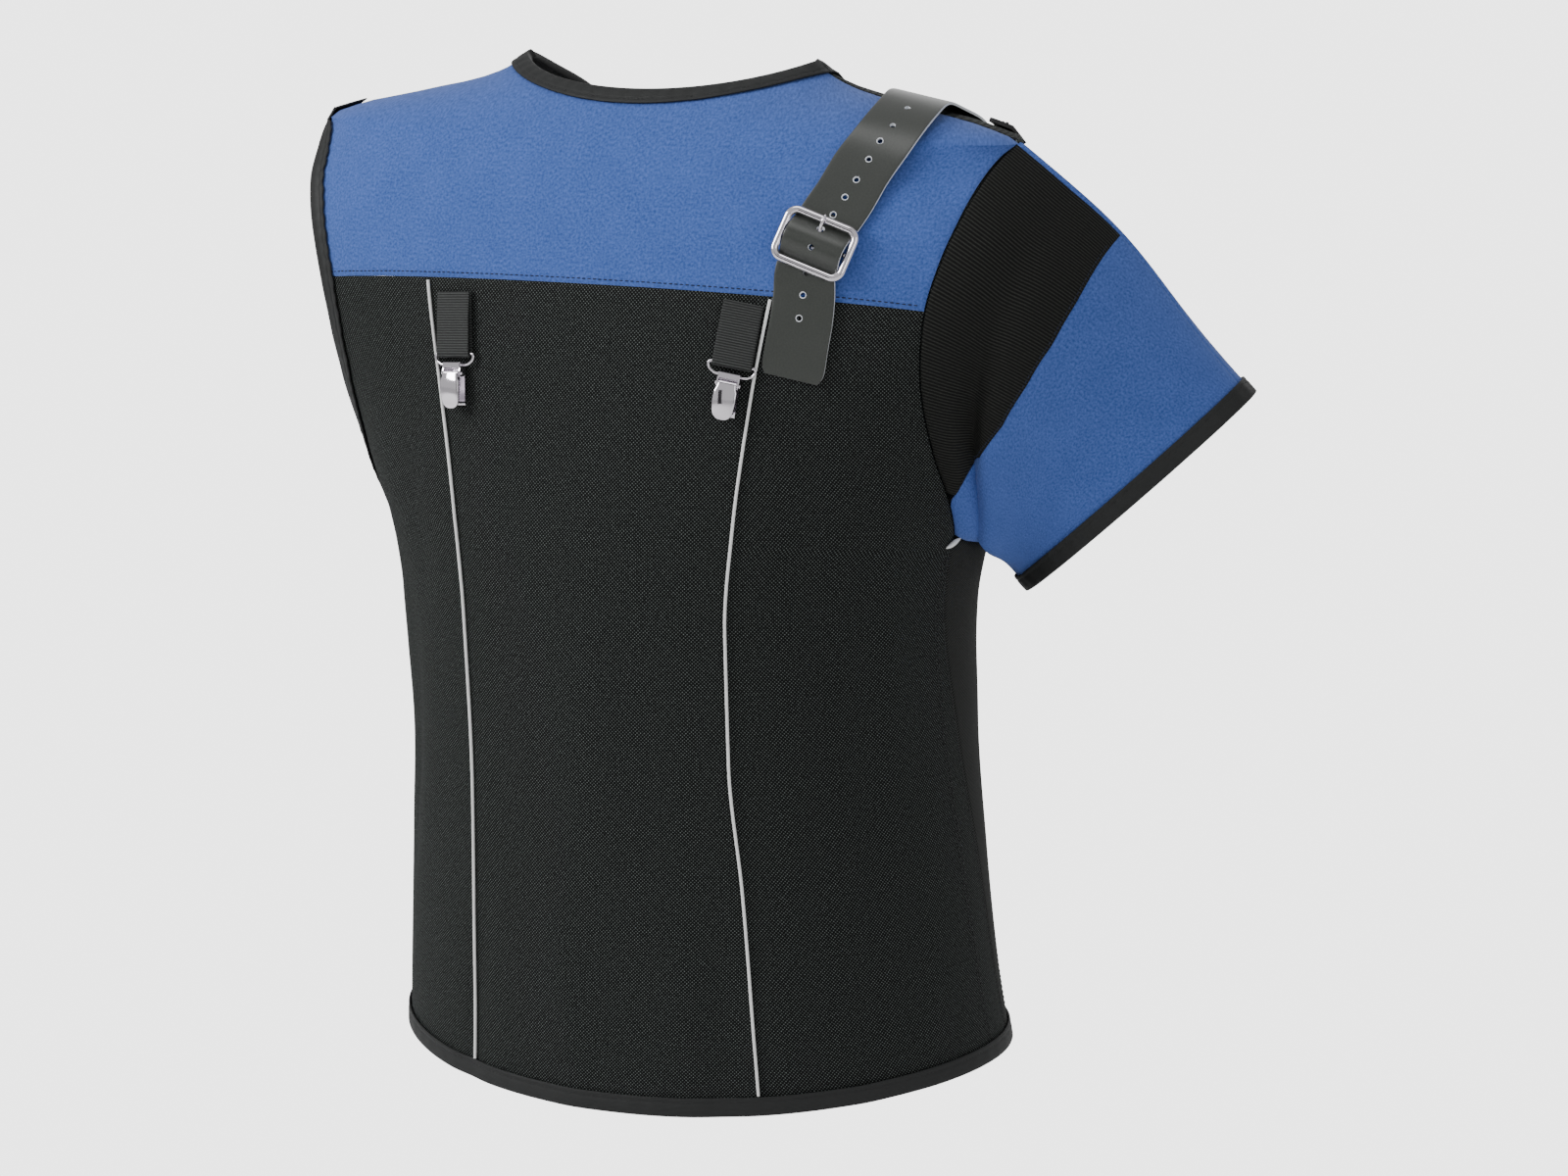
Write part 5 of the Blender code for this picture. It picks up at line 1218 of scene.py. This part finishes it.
def clipJaw(side, spot, rays):
    # The block reaches min(half depth / |down|, height / |out|) along each ray from its bore.
    far, edge, bore = clip["blockHalf"], clip["blockEdge"], clip["blockBore"]
    high = np.where(rays[:, 1] > 0, clip["blockOut"], clip["blockIn"])
    reach = np.min([clip["blockDeep"] / np.maximum(np.abs(rays[:, 0]), 1e-6),
                    high / np.maximum(np.abs(rays[:, 1]), 1e-6)], 0)[:, None]
    sizes = ((-far, bore), (-far, reach - edge), (edge - far, reach), (far - edge, reach), (far, reach - edge),
             (far, bore))
    ends = [spot(k * clip["pinHalf"] * mm, pinDown * mm, pinOut * mm) for k in (-1, 1)]
    parts = [boredBar("block", spot, np.array((barDown, 0.0)), rays, sizes),
             prism("plate", spot, clip["plateOutline"], clip["plateHalf"]),
             rod("pin", *ends, clip["pinRadius"] * mm, chromeLook)]
    parts += [prism("ear" + str(k), spot, clip["earOutline"], clip["earHalf"], k * clip["earAcross"])
              for k in (-1, 1)]
    gather("ClipJaw" + side.capitalize(), parts, "clip_jaw_" + side, "jaw_" + side, "chrome")


def clipLever(side, spot, rays, fold, across, down, out):
    # A shield with an arched spine and a domed width, rolled at its rim, with a knuckle round the pin.
    share = np.concatenate([[0.0, 0.012], np.linspace(0.03, 0.97, 40), [0.988, 1.0]])
    wide = smooth(clip["leverWide"], 1)(share) * mm
    x = np.concatenate([[-1.0, -0.975], np.linspace(-0.93, 0.93, 21), [0.975, 1.0]])
    arch = clip["leverArch"] * np.sin(np.pi * np.clip(share * 1.05, 0.0, 1.0))
    rise = (clip["leverRise"] + arch - 0.6 * share)[:, None] * mm
    dome = np.sin(np.pi * np.clip(0.1 + share, 0.0, 1.0))[:, None] ** 0.7
    rise = rise + clip["leverDome"] * mm * (1 - x[None, :] ** 2) * dome
    place = ((clip["leverFrom"] + clip["leverLong"] * share) * mm)[:, None, None]
    lower = fold + across * (wide[:, None] * x)[..., None] + down * place + out * rise[..., None]
    rim = np.maximum(np.abs(x)[None, :] ** 30, (np.clip((share - 0.93) / 0.07, 0, 1) ** 6)[:, None])
    upper = lower + out * ((clip["leverWall"] - clip["leverRim"] * rim) * mm)[..., None]
    flat = np.zeros_like(rim)
    shield = makePiece("lever", *closedWall(lower, upper, flat, flat), chromeLook, body=None)
    far, bore, thick = clip["knuckleHalf"], clip["knuckleBore"], clip["knuckleRadius"]
    knuckle = boredBar("knuckle", spot, np.array((pinDown, pinOut)), rays,
                       ((-far, bore), (-far, thick), (far, thick), (far, bore)))
    gather("ClipLever" + side.capitalize(), [shield, knuckle], "clip_lever_" + side, "lever_" + side,
           "chrome")


turn = np.linspace(0, 2 * np.pi, 32, endpoint=False)
rays = np.stack([np.cos(turn), np.sin(turn)], -1)
for side in ("left", "right"):
    fold, across, down, out, length = loopFrame(side)
    spot = localSpot(fold, across, down, out)
    webbingLoop(side, fold, across, down, out, length)
    clipWire(side, spot, out)
    clipJaw(side, spot, rays)
    clipLever(side, spot, rays, fold, across, down, out)
print("clips made")

# The buckle.
spot, across, down, out = buckleFrame()
buckle = {"corner": 6.0, "tabHalf": 15.0, "prong": 1.1, "prongRows": 90, "tabRows": 70, "slotHalf": 1.8,
          "slot": ((-12.4, -1.0), (-12.4, 14.0), (4.5, 14.0), (4.5, -1.0))}  # mm
line = []
for sx, sy, first in ((1, 1, 0.0), (-1, 1, 90.0), (-1, -1, 180.0), (1, -1, 270.0)):
    turn = np.radians(first + np.linspace(0.0, 90.0, 12))
    midAcross, midDown = sx * (frameAcross - buckle["corner"]), sy * (frameAlong - buckle["corner"])
    line += [spot(midAcross + buckle["corner"] * math.cos(t), midDown + buckle["corner"] * math.sin(t),
                  buckleUp) for t in turn]
ringed = resample(np.array(line), 180, True)
outer = sweepPiece("outer", tubeSections(ringed, frameBar * mm, 20, True, out), chromeLook, closed=True,
                   body=None)
ends = [spot(k * frameAcross, 0.0, buckleUp) for k in (-1, 1)]
bar = rod("bar", *ends, centreBar * mm, chromeLook, 20)
gather("BuckleFrame", [outer, bar], "buckle_frame", "garment", "chrome")
hook = centreBar + 0.15 + buckle["prong"]  # radius of the prong's eye round the bar
turn = np.radians(np.linspace(20.0, -180.0, 11))
line = [(hook * math.cos(t), buckleUp + hook * math.sin(t)) for t in turn]
line += [(-4.4, 7.0), (-7.0, 7.1), (-9.2, 7.8), (-11.2, 9.2), (-13.2, 10.2), (-15.6, 10.5), (-18.4, 9.9)]
line = curve(np.array([spot(0.0, d, n) for d, n in line]), buckle["prongRows"])
radius = buckle["prong"] * mm * np.clip(np.linspace(9.0, 0.0, buckle["prongRows"]), 0.75, 1.0)
radius[-3:] *= (0.95, 0.8, 0.5)
sweepPiece("BuckleProng", tubeSections(line, radius, 14, lead=across), chromeLook, node="buckle_prong",
           repaint="chrome")
# The tab runs under the strap's hump, a gap of 0.6 mm below it.
hump = humpLine()
slope = np.gradient(hump[:, 1]) / np.gradient(hump[:, 0])
shift = (strapThick + tabThick) / 2 + 0.6
low = np.maximum(hump[:, 1] - shift / np.sqrt(1 + slope ** 2), 1.0 - 0.0025 * hump[:, 0] ** 2)
tab = curve(np.stack([hump[:, 0] + shift * slope / np.sqrt(1 + slope ** 2), low], -1), buckle["tabRows"])
run = unit(np.gradient(tab, axis=0))
lean = np.stack([-run[:, 1], run[:, 0]], -1) * tabThick / 2
spread = np.linspace(-1.0, 1.0, 13) * buckle["tabHalf"]


def tabLayer(sign):
    # One face of the tab: its middle line moved square to itself.
    place = tab + sign * lean
    return np.array([[spot(a, d, n) for a in spread] for d, n in place])


walk = lengths(tab[:, None] * mm, 0)[:, 0]
u, v = np.repeat(walk[:, None], len(spread), 1), np.repeat(spread[None] * mm, len(walk), 0)
tabPiece = makePiece("BuckleTab", *closedWall(tabLayer(-1), tabLayer(1), u, v), leatherLook,
                     node="buckle_tab", repaint="strap_leather")
box = np.array([[spot(k * buckle["slotHalf"], d, n) for d, n in buckle["slot"]] for k in (-1, 1)])
carve(tabPiece, [sweepPiece("slotBox", box, leatherLook, body=None)])
cutStrip(tabPiece, 2 * buckle["tabHalf"] * mm, walk[-1])
print("buckle made")

# The shoulder strap, with its light cut edges and holes.
strap = {"sections": 240,
         "columns": (-1.0, -0.992, -0.965, -0.9, -0.7, -0.4, 0.0, 0.4, 0.7, 0.9, 0.965, 0.992, 1.0),
         "hole": 0.0019, "rim": 0.00028, "tipTrim": 0.0028, "even": 10, "evenAbove": 70, "above": 0.56}


def sheetPoint(angle, z, height):
    # Point this many mm over the body's cloth, and its normal.
    n = bodyNormal(math.radians(angle), z)
    return body(math.radians(angle), z) + n * (cloth + height * mm), n


left, right, normals = [], [], []
for xl, zl, xr, zr in strapFront[::-1]:
    (l, nl), (r, nr) = rightFront(xl, zl, strapLift), rightFront(xr, zr, strapLift)
    left.append(l)
    right.append(r)
    normals.append(unit(nl + nr))
above = [np.array(p) for p in strapTop[::-1]] + [sheetPoint(*row)[0] for row in strapUp[::-1]]
below = [sheetPoint(*row)[0] for row in strapDown]
over = [spot(-0.15 * max(-d - 10.0, 0.0) - 0.10 * max(d - 8.0, 0.0), d, n) for d, n in humpLine()]
centre = np.array(above + over + below)
run = tangents(centre, False)
walk = np.concatenate([[0.0], np.cumsum(np.linalg.norm(np.diff(centre, axis=0), axis=1))])
walk = (walk - walk[len(above) + len(over) // 2])[:, None]
# Across the strap: the buckle's own direction, turning slowly towards both ends, and square to the run.
w = np.repeat(across[None], len(centre), 0)
lean, end = np.clip((-walk - 0.024) / 0.090, 0.0, 1.0), np.clip((walk - 0.024) / 0.040, 0.0, 1.0)
w = lerp(w, unit(np.array((0.965, 0.0, 0.215))), lean)
w = unit(lerp(w, unit(np.array((0.965, 0.25, 0.08))), end))
w = unit(w - run * np.sum(w * run, -1, keepdims=True))
n = np.cross(w, run)
n = n * np.sign(np.sum(n * out, -1, keepdims=True) + 0.3 * (n[:, 2:] > 0.5))
half = np.full((len(centre), 1), strapHalf * mm)
half[-1] -= strap["tipTrim"]
left, right = np.concatenate([left, centre + w * half]), np.concatenate([right, centre - w * half])
normals = np.concatenate([normals, n])
# Smooth in between: the two edges and the normal follow the same curve.
fineLine = np.concatenate([left, right, normals], -1)
dense = curve(fineLine, strap["sections"])
# Evened twice: a little everywhere, and more above the buckle.
above = int(strap["sections"] * strap["above"])
for turn in range(strap["evenAbove"]):
    stop = strap["sections"] - 1 if turn < strap["even"] else above
    eased = 0.25 * dense[:-2] + 0.5 * dense[1:-1] + 0.25 * dense[2:]
    dense[1:stop] = eased[:stop - 1]
left, right, normals = dense[:, :3], dense[:, 3:6], unit(dense[:, 6:])
spread = (np.array(strap["columns"]) + 1) / 2
thin = strapThick * 0.0005 * (1 - 0.22 * np.abs(2 * spread - 1) ** 40)
sheetMid = left[:, None] + (right - left)[:, None] * spread[None, :, None]
lowerFace, upperFace = (sheetMid + sign * normals[:, None] * thin[None, :, None] for sign in (-1, 1))
walk = lengths(sheetMid[:, 6:7], 0)[:, 0]
strapWide = 2 * strapHalf * mm
u, v = np.repeat(walk[:, None], len(spread), 1), np.repeat(spread[None] * strapWide, len(walk), 0)
points, faces, coords = closedWall(lowerFace, upperFace, u, v)
strapPiece = makePiece("ShoulderStrap", points, faces, coords, leatherLook, node="shoulder_strap",
                       repaint="strap_leather")
strapPiece.data.materials.append(edgeLook)
rims = len(strap["columns"]) * 2 + strap["sections"] * 2 - 4
marks = np.zeros(len(faces), int)
marks[-rims:] = 1
strapPiece.data.polygons.foreach_set("material_index", marks)
cutters = []
for k, (turnAt, z) in enumerate(strapHoles):
    near, n = sheetPoint(turnAt, z, -2.0)
    cutters.append(rod("hole" + str(k), near, near + n * 0.014, strap["hole"], edgeLook))
for k, centreAt in enumerate(strapTop[:2]):
    n = unit(np.array((-0.22, 0.45 - 0.15 * k, 0.87)))
    ends = [np.array(centreAt) + n * end for end in (-0.006, 0.006)]
    cutters.append(rod("topHole" + str(k), *ends, strap["hole"], edgeLook))
for k, (placeAt, radiusAt, lean) in enumerate(((prongHole, 0.0025, (-1.2, 0.75)),
                                               (3.2, strap["hole"], (0.2, 0.98)))):
    level = float(np.interp(placeAt, *humpLine().T))
    ends = [spot(0.0, placeAt + s * lean[0], level + s * lean[1]) for s in (-2.4, 2.4)]
    cutters.append(rod("humpHole" + str(k), *ends, radiusAt, edgeLook))
carve(strapPiece, cutters)
cutStrip(strapPiece, round(strapWide, 4), walk[-1])
# Light rims round the holes.
ringsOf = []
middles = sheetMid.reshape(-1, 3)
turn = np.linspace(0, 2 * np.pi, 28, endpoint=False)[:, None]
for turnAt, z in strapHoles[:5] + strapHoles[6:]:
    near, n = sheetPoint(turnAt, z, 0.0)
    # The rim lies at the height of the strap's point that is nearest to the hole's axis.
    off = np.linalg.norm(np.cross(middles - near, n), axis=1)
    spotAt = near + n * float(np.dot(middles[np.argmin(off)] - near, n))
    side = unit(np.cross(n, (0.0, 0.0, 1.0)))
    rim = (side * np.cos(turn) + np.cross(n, side) * np.sin(turn)) * strap["hole"]
    ringsOf.append(spotAt + n * (strapThick * 0.0005) + rim)
rims = [sweepPiece("rim" + str(k), tubeSections(line, strap["rim"], 8, True, (0.3, 0.2, 0.9)), edgeLook,
                   closed=True, body=None) for k, line in enumerate(ringsOf)]
gather("StrapHoleRims", rims, None, "garment", "strap_leather")
print("strap made")

# The rubber pad on the front of the right shoulder, with its nubs.
pad = {"low": 0.0014, "high": 0.0040, "pitch": 0.0046, "nub": 0.0013, "rise": 0.0010, "margin": 0.002,
       "across": (0.136, 0.236), "down": (-0.136, -0.037)}
padZ = np.linspace(padTable[0][0], padTable[-1][0], 50)[:, None]
padFrom = smooth(padTable, 1)(padZ)
u = np.linspace(0.0, 1.0, 26)[None, :]
x = lerp(edgeX["front"](padZ) - ease - padEdge, padFrom, u)
(low, outs), (high, _) = (rightFront(x, padZ + 0.0 * u, cloth + pad[k]) for k in ("low", "high"))
makePiece("RecoilPad", *closedWall(low, high, x, padZ + 0.0 * u), rubberLook, node="recoil_pad",
          repaint="black_rubber")
# Nubs stand in staggered rows, as far as the pad's margin.
grid = [(a, b) for a in np.arange(*pad["across"], pad["pitch"]) for b in np.arange(*pad["down"], pad["pitch"])]
grid = np.array([(a + 0.5 * pad["pitch"] * (round(b / pad["pitch"]) % 2), b) for a, b in grid])
inside = (grid[:, 0] > smooth(padTable, 1)(grid[:, 1]) + pad["margin"]) & (
    grid[:, 0] < edgeX["front"](grid[:, 1]) - ease - padEdge - pad["margin"])
spots, outs = rightFront(grid[inside, 0], grid[inside, 1], cloth + pad["high"])
side = unit(np.cross(outs, (0.0, 0.0, 1.0)))
other = np.cross(outs, side)
turn = (np.arange(8) * np.pi / 4)[None, None, :, None]
layers = np.array(((1.0, -0.2), (0.85, 0.5), (0.45, 0.9), (0.12, 1.0)))
dome = (spots[:, None, None] + (side[:, None, None] * np.cos(turn) + other[:, None, None] * np.sin(turn)) * (
    layers[None, :, :1, None] * pad["nub"]) + outs[:, None, None] * layers[None, :, 1:, None] * pad["rise"])
i, j = np.arange(3)[:, None] * 8, np.arange(8)[None, :]
one = np.stack([i + j, i + (j + 1) % 8, i + 8 + (j + 1) % 8, i + 8 + j], -1).reshape(-1, 4)
one = np.concatenate([one, [(24, 25, 26, 27), (24, 27, 28, 31), (28, 29, 30, 31), (3, 2, 1, 0), (7, 4, 3, 0),
                            (7, 6, 5, 4)]])
faces = (one[None] + (np.arange(len(spots)) * 32)[:, None, None]).reshape(-1, 4)
makePiece("PadNubs", dome.reshape(-1, 3), faces, np.zeros((len(faces), 4, 2)), rubberLook,
          repaint="black_rubber", sharp=70.0)
print("pad made")

# Floor, light and camera.
stage = {"floor": -0.96, "reach": 60.0, "light": 0.50, "seen": 3.35}


def backdropShader(tree, plain, seen, exit):
    # The camera sees an even pale tone, and all other rays see the plain surface.
    mix, path, glow = (tree.nodes.new("ShaderNode" + kind) for kind in ("MixShader", "LightPath", "Emission"))
    glow.inputs["Color"].default_value = (1.0, 1.0, 1.0, 1.0)
    glow.inputs["Strength"].default_value = seen
    tree.links.new(path.outputs["Is Camera Ray"], mix.inputs[0])
    tree.links.new(plain.outputs[0], mix.inputs[1])
    tree.links.new(glow.outputs[0], mix.inputs[2])
    tree.links.new(mix.outputs[0], exit.inputs["Surface"])


def plainFace(name, corners, look):
    # One flat face of the stage.
    mesh = bpy.data.meshes.new(name)
    mesh.from_pydata([tuple(map(float, corner)) for corner in corners], [], [(0, 1, 2, 3)])
    mesh.materials.append(look)
    made = bpy.data.objects.new(name, mesh)
    bpy.context.scene.collection.objects.link(made)
    return made


around = ((-1, -1), (1, -1), (1, 1), (-1, 1))
floorLook = makeLook("PaleFloor", (0.80, 0.80, 0.80), 0.9)
tree = floorLook.node_tree
backdropShader(tree, tree.nodes["Principled BSDF"], stage["seen"], tree.nodes["Material Output"])
plainFace("Floor", [(x * stage["reach"], y * stage["reach"], stage["floor"]) for x, y in around], floorLook)
world = bpy.data.worlds.new("Studio")
bpy.context.scene.world = world
world.use_nodes = True
tree = world.node_tree
tree.nodes["Background"].inputs["Color"].default_value = (1.0, 1.0, 1.0, 1.0)
tree.nodes["Background"].inputs["Strength"].default_value = stage["light"]
backdropShader(tree, tree.nodes["Background"], stage["seen"], tree.nodes["World Output"])


def aimed(made, place, back):
    # Sets an object at its place, looking against this direction, with its top upward.
    side = unit(np.cross((0.0, 0.0, 1.0), back))
    up = np.cross(back, side)
    made.location = place
    made.rotation_euler = (math.atan2(up[2], back[2]), math.asin(max(-1.0, min(1.0, -side[2]))),
                           math.atan2(side[1], side[0]))
    bpy.context.scene.collection.objects.link(made)


middle = np.array((0.0, 0.0, -0.30))
# Name, place, width, height and power of each lamp.
for name, place, width, height, power in (
        ("KeyLight", (2.3, 2.2, 1.5), 1.5, 1.5, 90.0), ("FillLight", (-2.6, 1.6, 0.4), 1.8, 1.8, 14.0),
        ("TopLight", (0.2, 0.6, 2.4), 1.6, 1.2, 14.0), ("FrontLight", (0.4, -2.6, 0.8), 2.0, 2.0, 14.0)):
    lamp = bpy.data.lights.new(name, "AREA")
    lamp.shape, lamp.size, lamp.size_y, lamp.energy = "RECTANGLE", width, height, power
    aimed(bpy.data.objects.new(name, lamp), place, unit(np.array(place) - middle))

# Dark cards that only the metal and the coating mirror: place, half width, half height.
for k, (place, wide, tall) in enumerate((((-2.6, 3.4, -0.2), 0.35, 2.4), ((0.6, 3.6, -0.6), 0.30, 2.0),
                                         ((-0.4, 2.6, 2.6), 0.5, 0.5))):
    toward = unit(middle - np.array(place))
    sideways = unit(np.cross((0.0, 0.0, 1.0), toward))
    upward = np.cross(toward, sideways)
    corners = [np.array(place) + sideways * a * wide + upward * b * tall for a, b in around]
    card = plainFace("Card" + str(k), corners, makeLook("DarkCard" + str(k), (0.01, 0.01, 0.012), 0.9))
    card.visible_camera = card.visible_shadow = card.visible_diffuse = False

view = {"place": (-1.2851, 2.6548, 0.2193), "toward": (0.4097, -0.8927, -0.1875), "lens": 106.0,
        "sensor": 36.0}
camera = bpy.data.objects.new("Camera", bpy.data.cameras.new("Camera"))
camera.data.lens, camera.data.sensor_width = view["lens"], view["sensor"]
aimed(camera, view["place"], -unit(np.array(view["toward"])))
bpy.context.scene.camera = camera
print("stage set")

for name, made in cuts.items():
    print("cut", name, made)
